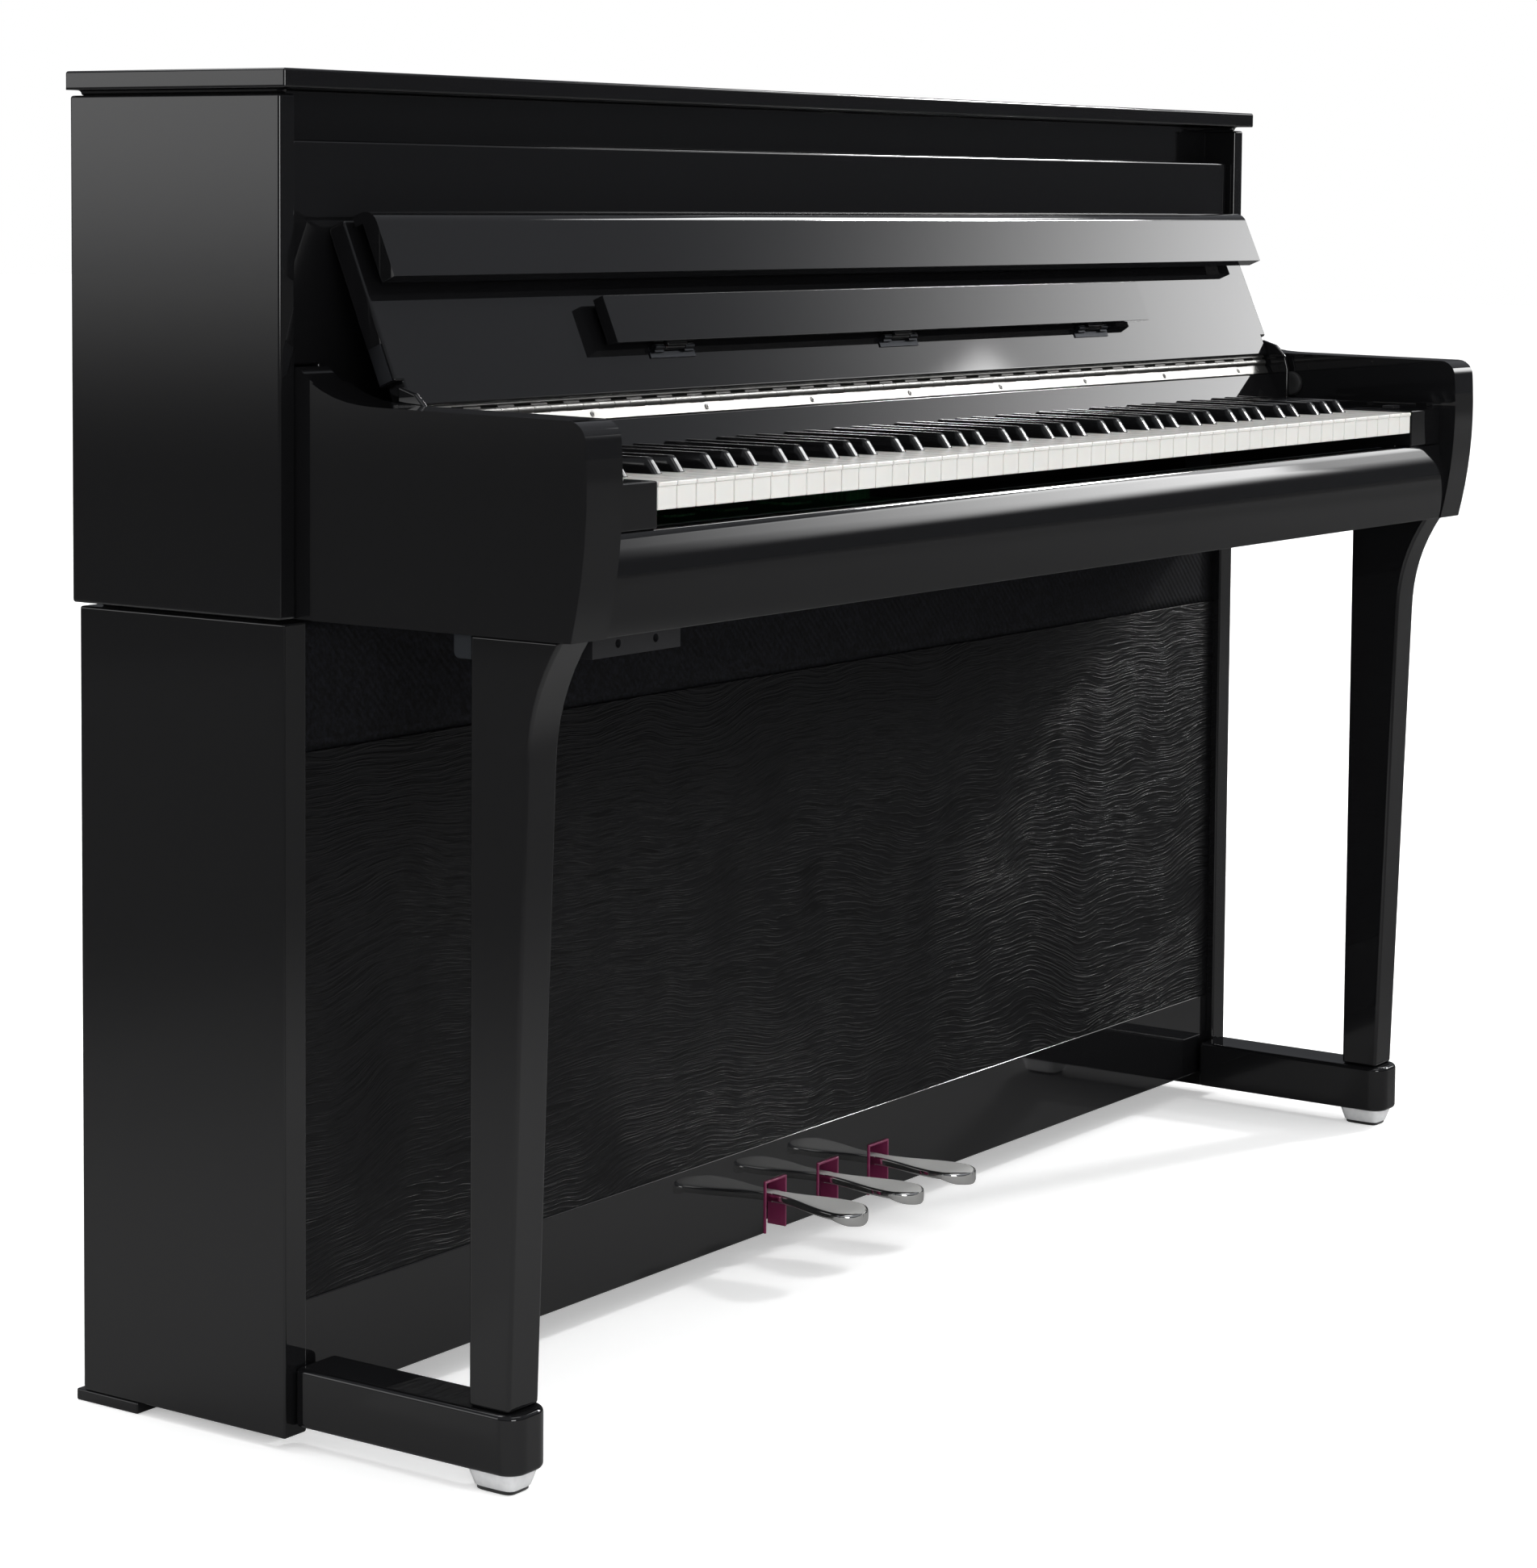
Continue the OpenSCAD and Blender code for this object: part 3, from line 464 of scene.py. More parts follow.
# ---------------------------------------------------------------- Legs, toe beams and brackets
# Slender lacquered legs that flare forward under the keybed, dowelled into toe beams with round
# front corners. Pressed brackets, powder coated a faintly pebbled dark grey, join them to the keybed.
for node in ("left_leg", "right_leg"):
    rounded_copy(node, 3.0 * MM, lacquer, 4, 30)
for node in ("left_toe_beam", "right_toe_beam"):
    rounded_copy(node, 4.0 * MM, lacquer, 4, 30)

bracket_steel, tree, shader = new_material("grey_coated_steel", Base_Color=srgb("#26292d"), Metallic=0.6,
                                           Roughness=0.5)
point = add(tree, "ShaderNodeTexCoord").outputs["Object"]
coat = add(tree, "ShaderNodeTexNoise", {"Scale": 1 / (0.9 * MM), "Detail": 2.0}, {"Vector": point})
bump = add(tree, "ShaderNodeBump", {"Strength": 0.25, "Distance": 0.1 * MM}, {"Height": coat.outputs[0]})
tree.links.new(bump.outputs[0], shader.inputs["Normal"])
rounded_copy("leg_brackets", 1.2 * MM, bracket_steel)


# ---------------------------------------------------------------- Glides
# A silver-grey moulded cap under each toe beam, with faint flow marks, tapers to a pad of fuzzy
# black felt that meets the floor.
glide_grey, tree, shader = new_material("silver_grey_moulding", Base_Color=srgb("#c9cacb"), Roughness=0.35)
point = add(tree, "ShaderNodeTexCoord").outputs["Object"]
flow = add(tree, "ShaderNodeTexNoise", {"Scale": 1 / (6 * MM), "Detail": 2.0}, {"Vector": point})
shade = add(tree, "ShaderNodeMix", {"A": srgb("#bdbec0"), "B": srgb("#d8d8d8")}, {"Factor": flow.outputs[0]},
            data_type="RGBA")
tree.links.new(shade.outputs["Result"], shader.inputs["Base Color"])
felt, tree, shader = new_material("black_felt", Base_Color=srgb("#141414"), Roughness=0.95, Sheen_Weight=0.3)
point = add(tree, "ShaderNodeTexCoord").outputs["Object"]
fuzz = add(tree, "ShaderNodeTexNoise", {"Scale": 1 / (0.8 * MM), "Detail": 4.0}, {"Vector": point})
bump = add(tree, "ShaderNodeBump", {"Strength": 0.6, "Distance": 0.3 * MM}, {"Height": fuzz.outputs[0]})
tree.links.new(bump.outputs[0], shader.inputs["Normal"])


def squircle_stack(centre, half_x, half_y, levels, count=48, power=5):
    """Rings of a superellipse: for each (height, inset) the half sizes shrink by the inset."""
    angle = np.linspace(0, 2 * np.pi, count, endpoint=False)
    c, s = np.cos(angle), np.sin(angle)
    r = (abs(c) ** power + abs(s) ** power) ** (-1 / power)
    rings = [np.stack([centre[0] + (half_x - i) * r * c, centre[1] + (half_y - i) * r * s,
                       np.full(count, z)], -1) for z, i in levels]
    return np.concatenate(rings), loop_faces(len(levels), count)


round_in = 0.6 * MM
for node, material, taper, reach, width in (("glide_caps", glide_grey, 3.5 * MM, 22 * MM, 17 * MM),
                                            ("glide_pads", felt, 0.4 * MM, 17 * MM, 13 * MM)):
    low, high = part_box(node)
    levels = [(low[2], taper + round_in), (low[2] + round_in, taper), (high[2] - 4 * round_in, 0.2 * MM),
              (high[2] - round_in, 0), (high[2], 0)]
    stacks = [squircle_stack((side * (high[0] - width), (low[1] + high[1]) / 2), width, reach, levels)
              for side in (-1, 1)]
    pad = mesh_object(node + "_moulded", *joined(stacks))
    pad.data.shade_smooth()
    outward(pad)
    pad.modifiers.new("corners", "EDGE_SPLIT").split_angle = np.radians(50)
    dress(pad, node, material)


# ---------------------------------------------------------------- Name board and cover rail
# The polished name board carries the slope of the hinge's leaf down to the keys. The rail behind it,
# which carries the hinge, has the same black lacquer, only rubbed down, so it stays dark.
rounded_copy("name_board", 0.8 * MM, polished_lacquer("name_board_polyester", 0.03))
satin, tree, shader = new_material("rubbed_black_lacquer", Base_Color=srgb("#070708"), Roughness=0.28)
point = add(tree, "ShaderNodeTexCoord").outputs["Object"]
rub = add(tree, "ShaderNodeTexNoise", {"Scale": 1 / (3 * MM), "Detail": 4.0}, {"Vector": point})
bump = add(tree, "ShaderNodeBump", {"Strength": 0.05, "Distance": 0.2 * MM}, {"Height": rub.outputs[0]})
tree.links.new(bump.outputs[0], shader.inputs["Normal"])
rounded_copy("cover_rail", 0.6 * MM, satin)


# ---------------------------------------------------------------- Key cover: board, flap and end plates
# Lacquered boards. The long board turns on a piano hinge; its front flap is folded flat against it,
# and small plates of dark brushed steel, each with two screws, close its notched ends.
rounded_copy("key_cover_board", 2.0 * MM, lacquer)
rounded_copy("key_cover_flap", 1.2 * MM, lacquer)
plate_steel, tree, shader = new_material("dark_plate_steel", Base_Color=srgb("#2c2d30"), Metallic=0.9,
                                         Roughness=0.35)
point = add(tree, "ShaderNodeTexCoord").outputs["Object"]
brushing = add(tree, "ShaderNodeMapping", {"Scale": (1 / (0.4 * MM), 1 / (12 * MM), 1 / (12 * MM))},
               {"Vector": point})
lines = add(tree, "ShaderNodeTexNoise", {"Scale": 1.0, "Detail": 2.0}, {"Vector": brushing.outputs[0]})
rough = add(tree, "ShaderNodeMapRange", {"To Min": 0.28, "To Max": 0.45}, {"Value": lines.outputs[0]})
tree.links.new(rough.outputs[0], shader.inputs["Roughness"])
rounded_copy("cover_end_plates", 0.4 * MM, plate_steel, 2)

cover_joint = next(j for j in frame["joints"] if j["name"] == "key_cover_hinge")
hinge_at = np.array(cover_joint["pos_m"])
lean = np.radians(23.2)
cover_up = np.array([0, np.sin(lean), np.cos(lean)])
cover_back = np.array([0, np.cos(lean), -np.sin(lean)])
plate_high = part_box("cover_end_plates")[1]
sink = 0.9 * MM
for side in (-1, 1):
    places = [hinge_at + cover_up * s + cover_back * 1.5 * MM + (side * (plate_high[0] - sink), 0, 0)
              for s in (33 * MM, 50 * MM)]
    screws(f"end_plate_screws_{'left' if side < 0 else 'right'}", places, (side, 0, 0), 2.6 * MM, "key_cover",
           black_steel)


# ---------------------------------------------------------------- Piano hinge
# Two leaves of nickel-plated steel rolled round one long pin, with low screws. The plating is a soft
# grey mirror with fine marks along the strip, from the rolling.
nickel, tree, shader = new_material("nickel_plated_steel", Base_Color=srgb("#7c7b79"), Metallic=1.0,
                                    Roughness=0.4)
point = add(tree, "ShaderNodeTexCoord").outputs["Object"]
rolled = add(tree, "ShaderNodeMapping", {"Scale": (1 / (25 * MM), 1 / (0.6 * MM), 1 / (0.6 * MM))},
             {"Vector": point})
marks = add(tree, "ShaderNodeTexNoise", {"Scale": 1.0, "Detail": 3.0}, {"Vector": rolled.outputs[0]})
rough = add(tree, "ShaderNodeMapRange", {"To Min": 0.34, "To Max": 0.48}, {"Value": marks.outputs[0]})
tree.links.new(rough.outputs[0], shader.inputs["Roughness"])
for node in ("hinge_fixed_leaf", "hinge_moving_leaf", "hinge_pin", "flap_hinge", "key_pivot_rod",
             "pedal_shaft"):
    data = frame["nodes"][node].data
    data.materials.clear()
    data.materials.append(nickel)
leaf_slope = np.radians(27.3)
leaf_down = np.array([0, -np.sin(leaf_slope), -np.cos(leaf_slope)])
leaf_out = np.array([0, -np.cos(leaf_slope), np.sin(leaf_slope)])
screw_line = hinge_at + leaf_down * 7.6 * MM + leaf_out * 0.6 * MM
hinge_places = [screw_line + (x, 0, 0) for x in np.linspace(-0.6, 0.6, 9)]
hinge_places += [screw_line + (x, 0, 0) for x in (-0.64, 0.64)]
screws("hinge_screws", hinge_places, leaf_out, 2.4 * MM, "cabinet", nickel)


# ---------------------------------------------------------------- Music rest
# A narrow lacquered ledge folded flat against the board on three small blackened hinges.
rounded_copy("music_rest", 1.2 * MM, lacquer)
rest_hinges = frame["nodes"]["music_rest_hinges"].data
rest_hinges.materials.clear()
rest_hinges.materials.append(black_steel)


# ---------------------------------------------------------------- Cheeks and bumpers
# Black plates close the ends of the hinge, and a round bumper beside each takes the cover. The
# bumpers are soft black rubber with a dull, uneven bloom.
rounded_copy("cover_cheeks", 1.5 * MM, lacquer)
rubber, tree, shader = new_material("black_bumper_rubber", Base_Color=srgb("#161617"), Roughness=0.7)
point = add(tree, "ShaderNodeTexCoord").outputs["Object"]
bloom = add(tree, "ShaderNodeTexNoise", {"Scale": 1 / (4 * MM), "Detail": 3.0}, {"Vector": point})
rough = add(tree, "ShaderNodeMapRange", {"To Min": 0.55, "To Max": 0.8}, {"Value": bloom.outputs[0]})
tree.links.new(rough.outputs[0], shader.inputs["Roughness"])
low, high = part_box("cover_bumpers")
disc_r = (high[2] - low[2]) / 2
disc_t = 5 * MM
disc = [(0.25, 0.88), (0.5, 1.0), (0.86, 1.0), (0.97, 0.8), (1.0, 0.5), (1.0, 0)]
discs = [turned([(disc_r * r, disc_t * h) for r, h in [(0.08, 0.88)] + disc],
                (side * high[0], (low[1] + high[1]) / 2, (low[2] + high[2]) / 2), (-side, 0, 0))
         for side in (-1, 1)]
bumpers = outward(mesh_object("round_bumpers", *joined(discs)))
bumpers.data.shade_smooth()
dress(bumpers, "cover_bumpers", rubber)


# ---------------------------------------------------------------- White keys
# Moulded keys: a cap with a rounded lip stands a little proud of the key's front, and the tail is
# narrowed beside each black key. The resin is ivory white and half gloss, duller where fingers rub.
key_pitch = 23.5 * MM
white_count = 52
key_gap = 0.9 * MM
key_low, key_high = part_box("key_d4")
sharp_low, sharp_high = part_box("key_c_sharp4")
sharp_half = (sharp_high[0] - sharp_low[0]) / 2
head_len = 49 * MM
cap_t = 3.4 * MM
lip = 0.9 * MM
sharp_shift = np.array([-2.3, 2.3, 0, -3.4, 0, 3.4, 0]) * MM


def has_sharp(i):
    """Key i counts from the lowest A; a black key follows every note but E and B."""
    return 0 <= i < white_count - 1 and (i + 5) % 7 not in (2, 6)


def sharp_x(i):
    """Middle of the black key after key i: on the gap, moved by its note's own small shift."""
    return (i + 1 - white_count // 2) * key_pitch + sharp_shift[(i + 5) % 7]


def plate(outline, low, high):
    """An outline in (X, Y) carried up from one height to another and closed at both."""
    outline = np.asarray(outline, float)
    n = len(outline)
    verts = np.concatenate([np.column_stack([outline, np.full(n, z)]) for z in (low, high)])
    return verts, loop_faces(2, n)


def white_key(i):
    """The plan is a head as wide as the pitch less the gap, and a tail cut to clear the black keys.
    The cap keeps that plan; the body under it is set back by the lip at the front."""
    x0 = (i - white_count // 2) * key_pitch + key_gap / 2
    x1 = x0 + key_pitch - key_gap
    clear = sharp_half + key_gap
    t0 = sharp_x(i - 1) + clear if has_sharp(i - 1) else x0
    t1 = sharp_x(i) - clear if has_sharp(i) else x1
    front, back = key_low[1], key_high[1]
    neck = front + head_len

    def plan(set_back):
        """The outline seen from above, its front edge set back."""
        points = [(x0, front + set_back), (x1, front + set_back), (x1, neck)]
        points += [(t1, neck)] if t1 < x1 else []
        points += [(t1, back), (t0, back)]
        points += [(t0, neck)] if t0 > x0 else []
        return points + ([(x0, neck)] if t0 > x0 else [])

    top, base = key_high[2], key_low[2]
    return [plate(plan(0), top - cap_t, top), plate(plan(lip), base, top - cap_t + 0.2 * MM)]


ivory, tree, shader = new_material("ivory_white_resin", Base_Color=srgb("#cccbc8"), Roughness=0.22,
                                   Subsurface_Weight=0.08, Subsurface_Scale=0.002)
point = add(tree, "ShaderNodeTexCoord").outputs["Object"]
hue = add(tree, "ShaderNodeTexNoise", {"Scale": 1 / (60 * MM), "Detail": 2.0}, {"Vector": point})
tone = add(tree, "ShaderNodeMix", {"A": srgb("#c8c7c3"), "B": srgb("#cfcecb")}, {"Factor": hue.outputs[0]},
           data_type="RGBA")
tree.links.new(tone.outputs["Result"], shader.inputs["Base Color"])
touch = add(tree, "ShaderNodeTexNoise", {"Scale": 1 / (5 * MM), "Detail": 3.0}, {"Vector": point})
rough = add(tree, "ShaderNodeMapRange", {"To Min": 0.16, "To Max": 0.3}, {"Value": touch.outputs[0]})
tree.links.new(rough.outputs[0], shader.inputs["Roughness"])


def key_piece(node, parts):
    """White keys as one piece, their edges rounded by the lip."""
    obj = outward(mesh_object(node + "_moulded", *joined(parts)))
    obj.data.shade_smooth()
    bevel = obj.modifiers.new("edges", "BEVEL")
    bevel.width = lip
    bevel.segments = 3
    bevel.limit_method = "ANGLE"
    bevel.angle_limit = np.radians(30)
    obj.modifiers.new("normals", "WEIGHTED_NORMAL").weight = 100
    dress(obj, node, ivory)


single_white = {23: "key_c4", 24: "key_d4", 25: "key_e4"}
rest_white = [part for i in range(white_count) if i not in single_white for part in white_key(i)]
key_piece("white_keys", rest_white)
for i, node in single_white.items():
    key_piece(node, white_key(i))


# ---------------------------------------------------------------- Black keys
# Moulded with a fine satin grain like ebony. The front slopes, and the sides draw in towards a
# rounded top; behind the name board the key drops to a low tail.
top_in = 1.1 * MM
sharp_front, sharp_back = sharp_low[1], -60 * MM


def black_key(i, rows=14, around=20):
    """Sections across the key along Y. Each is a trapezium with rounded top corners: the height
    follows a sloped, then level line, and the half width draws in by top_in at the top."""
    x = sharp_x(i)
    base, level, top = sharp_low[2], key_high[2], sharp_high[2]
    v = np.concatenate([np.linspace(0, 1, rows - 3) ** 1.3 * 11 * MM, [45 * MM]])
    y = np.concatenate([[sharp_front], sharp_front + v, [sharp_back - 1.2 * MM, sharp_back]])
    rise = np.clip((y - sharp_front) / (8.7 * MM), 0, 1.25)
    rise -= np.clip(rise - 0.75, 0, 0.5) ** 2
    height = level + 0.3 * MM + (top - level - 0.3 * MM) * rise
    height[-1] -= 1.0 * MM
    u = np.linspace(0, np.pi, around)
    c, s = np.cos(u), np.sin(u)
    power = 7
    r = (abs(c) ** power + abs(s) ** power) ** (-1 / power)
    across, up = r * c, r * s
    rings = []
    for yy, h in zip(y, height):
        half = sharp_half - top_in * up ** 2
        rings.append(np.column_stack([x + half * across, np.full(around, yy), base + (h - base) * up]))
    cap = np.concatenate(rings), loop_faces(len(y), around)
    tail = plate([(x - sharp_half, sharp_back - 2 * MM), (x + sharp_half, sharp_back - 2 * MM),
                  (x + sharp_half, key_high[1]), (x - sharp_half, key_high[1])], base, level - 2 * MM)
    return [cap, tail]


ebony, tree, shader = new_material("ebony_black_resin", Base_Color=srgb("#0b0b0c"), Roughness=0.14)
point = add(tree, "ShaderNodeTexCoord").outputs["Object"]
fine = add(tree, "ShaderNodeMapping", {"Scale": (1 / (0.7 * MM), 1 / (9 * MM), 1 / (0.7 * MM))},
           {"Vector": point})
streak = add(tree, "ShaderNodeTexNoise", {"Scale": 1.0, "Detail": 2.0}, {"Vector": fine.outputs[0]})
bump = add(tree, "ShaderNodeBump", {"Strength": 0.05, "Distance": 0.1 * MM}, {"Height": streak.outputs[0]})
tree.links.new(bump.outputs[0], shader.inputs["Normal"])


def black_piece(node, indices):
    """The black keys that follow the white keys with these numbers, as one piece."""
    parts = [part for i in indices for part in black_key(i)]
    obj = outward(mesh_object(node + "_moulded", *joined(parts)))
    obj.data.shade_smooth()
    obj.modifiers.new("corners", "EDGE_SPLIT").split_angle = np.radians(40)
    dress(obj, node, ebony)


single_black = {23: "key_c_sharp4", 24: "key_d_sharp4"}
black_piece("black_keys", [i for i in range(white_count) if has_sharp(i) and i not in single_black])
for i, node in single_black.items():
    black_piece(node, [i])


# ---------------------------------------------------------------- Key frame
# The pressed steel frame under the keys. Its zinc plating is light grey and soft, and large faint
# crystals vary its gloss.
zinc_plate, tree, shader = new_material("zinc_plated_sheet", Base_Color=srgb("#8d9298"), Metallic=1.0,
                                        Roughness=0.4)
point = add(tree, "ShaderNodeTexCoord").outputs["Object"]
spangle = add(tree, "ShaderNodeTexVoronoi", {"Scale": 1 / (14 * MM)}, {"Vector": point})
rough = add(tree, "ShaderNodeMapRange", {"To Min": 0.3, "To Max": 0.5},
            {"Value": spangle.outputs["Distance"]})
tree.links.new(rough.outputs[0], shader.inputs["Roughness"])
rounded_copy("key_frame", 0.8 * MM, zinc_plate, 2)


# ---------------------------------------------------------------- Pedals
# Cast levers, plated: the leaf-shaped blade is brushed satin on top and polished round its nose,
# which bends down. Behind the kickboard a square lever runs to a bored boss.
pedal_metal, tree, shader = new_material("satin_plated_casting", Base_Color=srgb("#dcdcda"), Metallic=0.6,
                                         Roughness=0.3)
point = add(tree, "ShaderNodeTexCoord").outputs["Object"]
satin_lines = add(tree, "ShaderNodeMapping", {"Scale": (1 / (0.5 * MM), 1 / (20 * MM), 1 / (20 * MM))},
                  {"Vector": point})
strokes = add(tree, "ShaderNodeTexNoise", {"Scale": 1.0, "Detail": 2.0}, {"Vector": satin_lines.outputs[0]})
brushed = add(tree, "ShaderNodeMapRange", {"To Min": 0.3, "To Max": 0.46}, {"Value": strokes.outputs[0]})
facing = add(tree, "ShaderNodeSeparateXYZ", links={0: add(tree, "ShaderNodeNewGeometry").outputs["Normal"]})
flat = add(tree, "ShaderNodeMapRange", {"From Min": 0.9, "From Max": 0.98}, {"Value": facing.outputs["Z"]})
rough = add(tree, "ShaderNodeMix", {"A": 0.06}, {"Factor": flat.outputs[0], "B": brushed.outputs[0]},
            data_type="FLOAT")
tree.links.new(rough.outputs[0], shader.inputs["Roughness"])
polish = add(tree, "ShaderNodeMix", {"A": 1.0, "B": 0.35}, {"Factor": flat.outputs[0]}, data_type="FLOAT")
tree.links.new(polish.outputs[0], shader.inputs["Metallic"])

blade_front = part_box("sostenuto_pedal")[0][1]
blade_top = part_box("kickboard")[0][2] + 33.8 * MM
kick_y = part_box("kickboard")[0][1]
boss = np.array(next(j for j in frame["joints"] if j["name"] == "sostenuto_pedal_hinge")["pos_m"])


def blade_half(t, half):
    """Half width from the slot, t = 0, to the tip, t = 1: a cosine swell, then a quarter ellipse."""
    swell = 7 * MM + (half - 7 * MM) * (1 - np.cos(np.pi * np.clip(t / 0.78, 0, 1))) / 2
    return np.where(t < 0.78, swell, half * np.sqrt(np.maximum(0, 1 - ((t - 0.78) / 0.22) ** 2)))


def blade(x, bend, half, stations=56, around=40):
    """Sections across the blade: superellipses, flat on top, whose middle swings sideways by
    bend x t squared. Over the last fifth the underside drops by 5 mm and the top dips to the nose."""
    t = np.concatenate([np.linspace(0, 0.78, stations // 2, endpoint=False),
                        0.78 + 0.22 * np.sin(np.linspace(0, np.pi / 2 * 0.985, stations // 2))])
    y = kick_y + (blade_front - kick_y) * t
    w = blade_half(t, half)
    nose = np.clip((t - 0.8) / 0.2, 0, 1)
    top = blade_top - 2.2 * MM * nose ** 3
    low = blade_top - 8 * MM - 5 * MM * np.sin(nose * np.pi / 2)
    u = np.linspace(0, 2 * np.pi, around, endpoint=False)
    c, s = np.cos(u), np.sin(u)
    power = 6
    r = (abs(c) ** power + abs(s) ** power) ** (-1 / power)
    crown = 1 + 0.05 * (s > 0) * (1 - c ** 2)
    px = x + bend * t[:, None] ** 2 + w[:, None] * (r * c)
    pz = (top + low)[:, None] / 2 + (top - low)[:, None] / 2 * (r * s * crown) / 1.05
    py = np.repeat(y[:, None], around, 1)
    return np.stack([px, py, pz], -1).reshape(-1, 3), loop_faces(len(t), around)


def lever(x):
    """A square bar with rounded edges from the slot to the boss, and a turned boss bored for the shaft."""
    rings = []
    u = np.linspace(0, 2 * np.pi, 24, endpoint=False)
    c, s = np.cos(u), np.sin(u)
    r = (abs(c) ** 8 + abs(s) ** 8) ** (-1 / 8)
    for y in (kick_y - 1 * MM, boss[1] - 6 * MM):
        rings.append(np.stack([x + 7 * MM * r * c, np.full(24, y), blade_top - 4 * MM + 4 * MM * r * s], -1))
    bar = np.concatenate(rings), loop_faces(2, 24)
    ring = [(4.05, -10), (8.2, -10), (9, -9.2), (9, 9.2), (8.2, 10), (4.05, 10)]
    count, last = 40, len(ring) - 1
    verts, faces = turned(np.array(ring) * MM, (x, boss[1], boss[2]), (1, 0, 0), count)
    faces = faces[:-2] + [[i, (i + 1) % count, last * count + (i + 1) % count, last * count + i]
                          for i in range(count)]
    return [bar, (verts, faces)]


side_bend = 9 * MM
for node, x, bend, half in (("soft_pedal", -81.5 * MM, -side_bend, 23 * MM),
                            ("sostenuto_pedal", 0, 0, 20.5 * MM),
                            ("damper_pedal", 81.5 * MM, side_bend / 2, 21.5 * MM)):
    piece = outward(mesh_object(node + "_cast", *joined([blade(x, bend, half), *lever(x)])))
    piece.data.shade_smooth()
    piece.modifiers.new("corners", "EDGE_SPLIT").split_angle = np.radians(48)
    dress(piece, node, pedal_metal)


# ---------------------------------------------------------------- Pedal frame, springs and linings
# A folded steel frame behind the kickboard holds the shaft. A wire spring wound round the shaft
# beside each pedal lifts it, and wine-red mouldings line the three slots.
rounded_copy("pedal_frame", 0.8 * MM, bracket_steel, 2)


def wire_coil(x0, x1, centre, radius, wire, turns=8, around=10):
    """A helix along X: the wire's centre goes round at radius while it advances from x0 to x1, and
    a circle of the wire's radius is carried square to that line."""
    a = np.linspace(0, 2 * np.pi * turns, turns * 24)
    x = np.linspace(x0, x1, len(a))
    line = np.column_stack([x, centre[1] + radius * np.cos(a), centre[2] + radius * np.sin(a)])
    radial = np.column_stack([0 * a, np.cos(a), np.sin(a)])
    ahead = np.gradient(line, axis=0)
    ahead /= np.linalg.norm(ahead, axis=1)[:, None]
    beside = np.cross(ahead, radial)
    u = np.linspace(0, 2 * np.pi, around, endpoint=False)
    verts = line[:, None] + wire * (np.cos(u)[None, :, None] * radial[:, None]
                                    + np.sin(u)[None, :, None] * beside[:, None])
    return verts.reshape(-1, 3), loop_faces(len(a), around)


spring_low, spring_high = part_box("pedal_springs")
coils = [wire_coil(x0, x1, boss, 5.4 * MM, 1.0 * MM) for x0, x1 in
         ((spring_low[0] + 1 * MM, -43.5 * MM), (13 * MM, 38 * MM), (94.5 * MM, spring_high[0] - 1.2 * MM))]
spring_piece = outward(mesh_object("spring_coils", *joined(coils)))
spring_piece.data.shade_smooth()
dress(spring_piece, "pedal_springs", black_steel)

wine, tree, shader = new_material("wine_red_moulding", Base_Color=srgb("#6b2345"), Roughness=0.35)
point = add(tree, "ShaderNodeTexCoord").outputs["Object"]
mould = add(tree, "ShaderNodeTexNoise", {"Scale": 1 / (10 * MM), "Detail": 2.0}, {"Vector": point})
tone = add(tree, "ShaderNodeMix", {"A": srgb("#5e1c3a"), "B": srgb("#7a2a50")}, {"Factor": mould.outputs[0]},
           data_type="RGBA")
tree.links.new(tone.outputs["Result"], shader.inputs["Base Color"])
rounded_copy("pedal_slot_linings", 0.5 * MM, wine, 2)


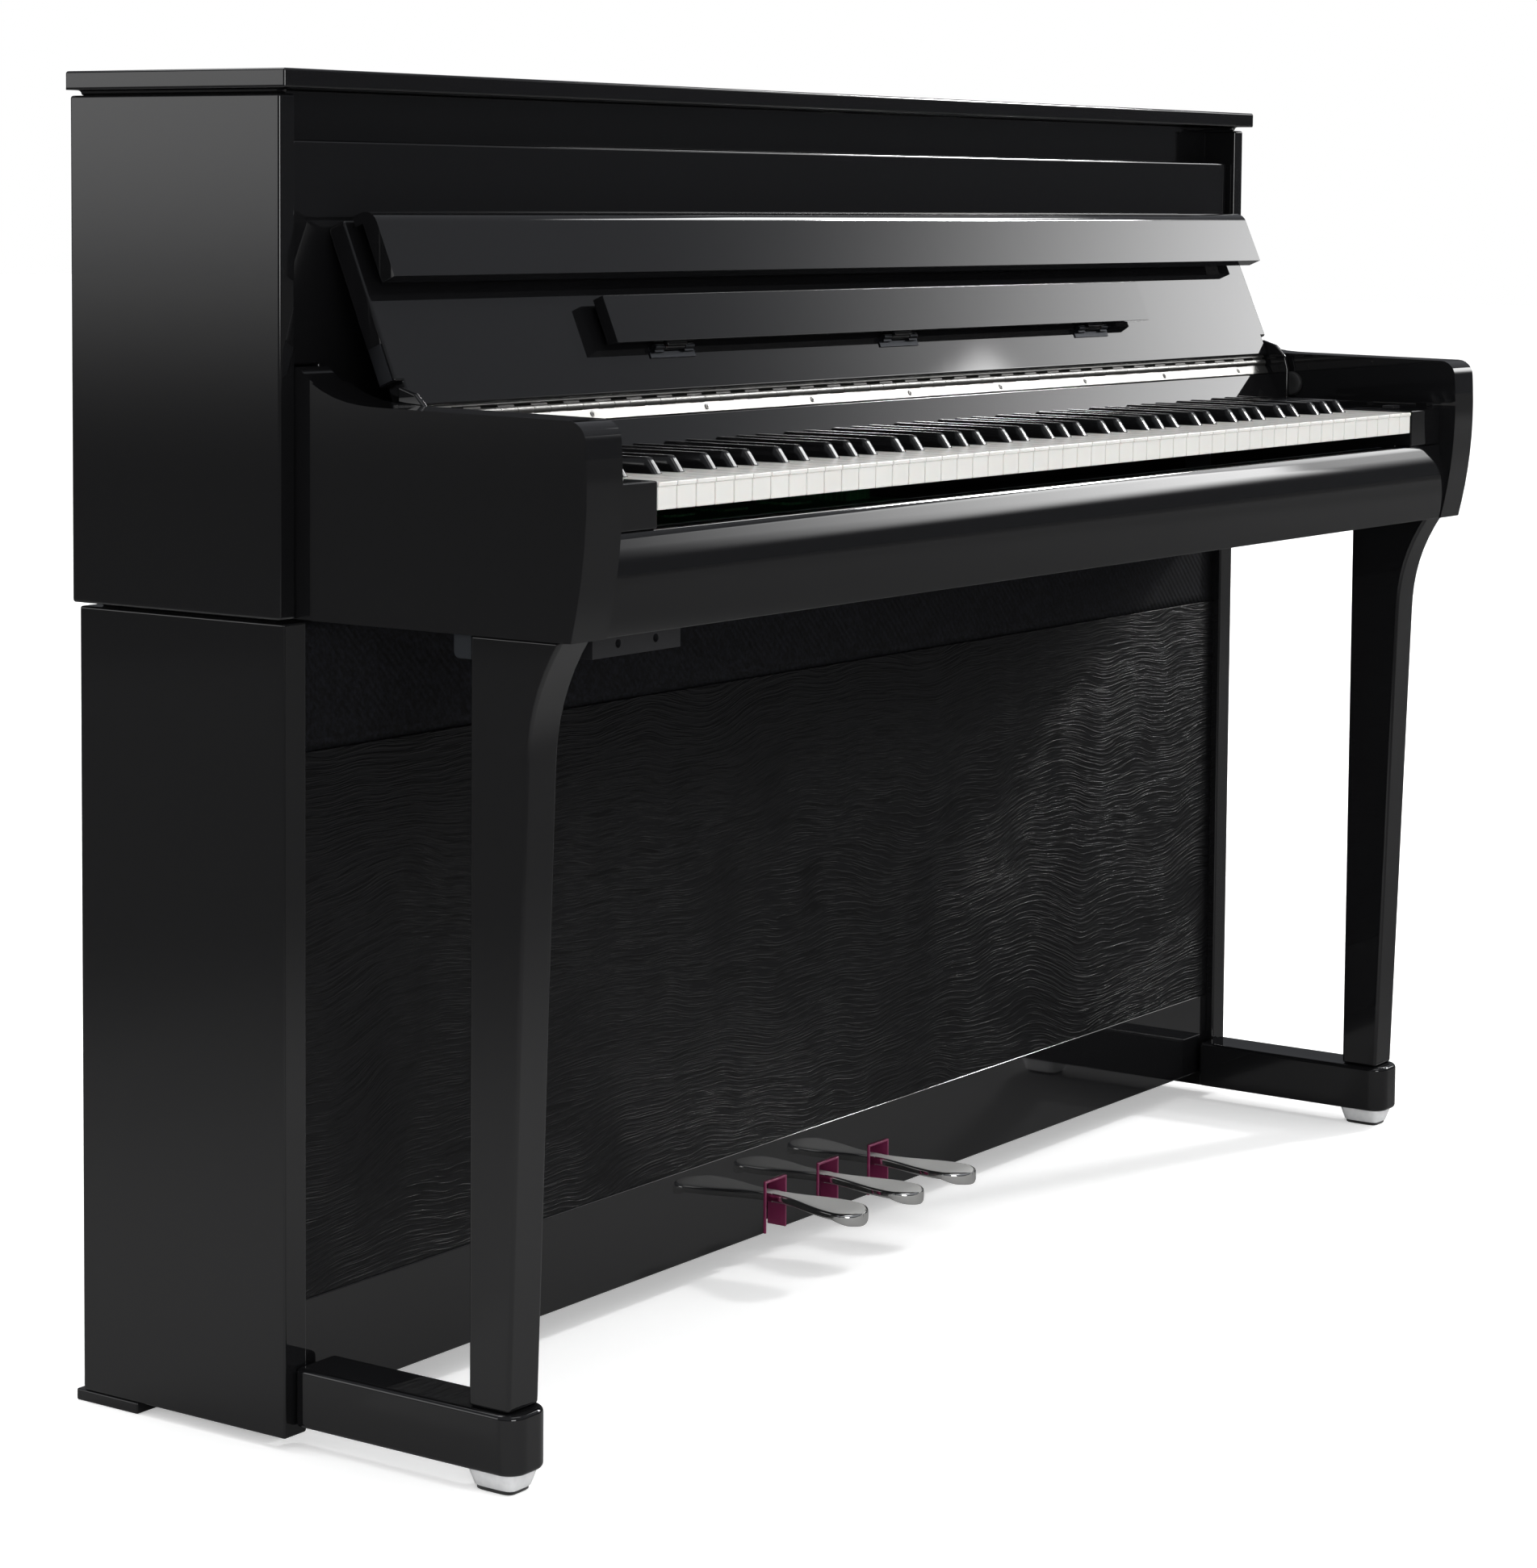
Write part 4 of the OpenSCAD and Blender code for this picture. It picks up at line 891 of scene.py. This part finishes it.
# ---------------------------------------------------------------- Speakers
# Paper cones with a rubber roll in pressed baskets, behind the cloth, with ring magnets. All of it is
# black, and the pulp of the cones gives a fine dull relief.
basket, tree, shader = new_material("black_pressed_basket", Base_Color=srgb("#1b1b1d"), Metallic=0.4,
                                    Roughness=0.5)
point = add(tree, "ShaderNodeTexCoord").outputs["Object"]
paper = add(tree, "ShaderNodeTexNoise", {"Scale": 1 / (1.5 * MM), "Detail": 3.0}, {"Vector": point})
bump = add(tree, "ShaderNodeBump", {"Strength": 0.3, "Distance": 0.2 * MM}, {"Height": paper.outputs[0]})
tree.links.new(bump.outputs[0], shader.inputs["Normal"])
low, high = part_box("speakers")
speaker_profile = np.array([(0.06, 0.16), (0.2, 0.14), (0.3, 0.2), (0.72, 0.06), (0.78, 0.02), (0.86, 0.0),
                            (0.92, 0.03), (1.0, 0.0), (1.0, 0.12), (0.8, 0.2), (0.62, 0.58), (0.58, 0.6),
                            (0.58, 1.0), (0.05, 1.0)])
speakers = []
for x, r in ((-0.56, 26 * MM), (-0.40, 44 * MM), (0.40, 44 * MM), (0.56, 26 * MM)):
    depth = 0.995 * (high[1] - low[1])
    speakers.append(turned(speaker_profile * (r, depth), (x, low[1] + 0.1 * MM, (low[2] + high[2]) / 2),
                           (0, 1, 0), 48))
speaker_piece = outward(mesh_object("speaker_units", *joined(speakers)))
speaker_piece.data.shade_smooth()
speaker_piece.modifiers.new("corners", "EDGE_SPLIT").split_angle = np.radians(40)
dress(speaker_piece, "speakers", basket)


# ---------------------------------------------------------------- Circuit board and controls
# A green board on posts over the keybed, its copper tracks paler under the mask. A slider and a button
# are in the right key block, the mains inlet is in the back, and the headphone sockets are in a box
# under the keybed: black mouldings with the fine dull relief of a spark-eroded tool.
mask, tree, shader = new_material("green_solder_mask", Base_Color=srgb("#1d5a35"), Roughness=0.35)
point = add(tree, "ShaderNodeTexCoord").outputs["Object"]
tracks = add(tree, "ShaderNodeTexBrick", {"Scale": 1 / (24 * MM), "Color1": srgb("#1d5a35"),
                                          "Color2": srgb("#23693f"), "Mortar": srgb("#3b8052"),
                                          "Mortar Size": 0.03}, {"Vector": point})
tree.links.new(tracks.outputs["Color"], shader.inputs["Base Color"])
rounded_copy("main_circuit_board", 0.3 * MM, mask, 2)

moulding, tree, shader = new_material("dark_abs_moulding", Base_Color=srgb("#1c1c1e"), Roughness=0.42)
point = add(tree, "ShaderNodeTexCoord").outputs["Object"]
spark = add(tree, "ShaderNodeTexVoronoi", {"Scale": 1 / (0.9 * MM)}, {"Vector": point})
bump = add(tree, "ShaderNodeBump", {"Strength": 0.25, "Distance": 0.1 * MM},
           {"Height": spark.outputs["Distance"]})
tree.links.new(bump.outputs[0], shader.inputs["Normal"])
for node, edge in (("power_button", 1.2), ("volume_slider", 0.8), ("ac_inlet", 0.8), ("jack_panel", 1.5)):
    rounded_copy(node, edge * MM, moulding)
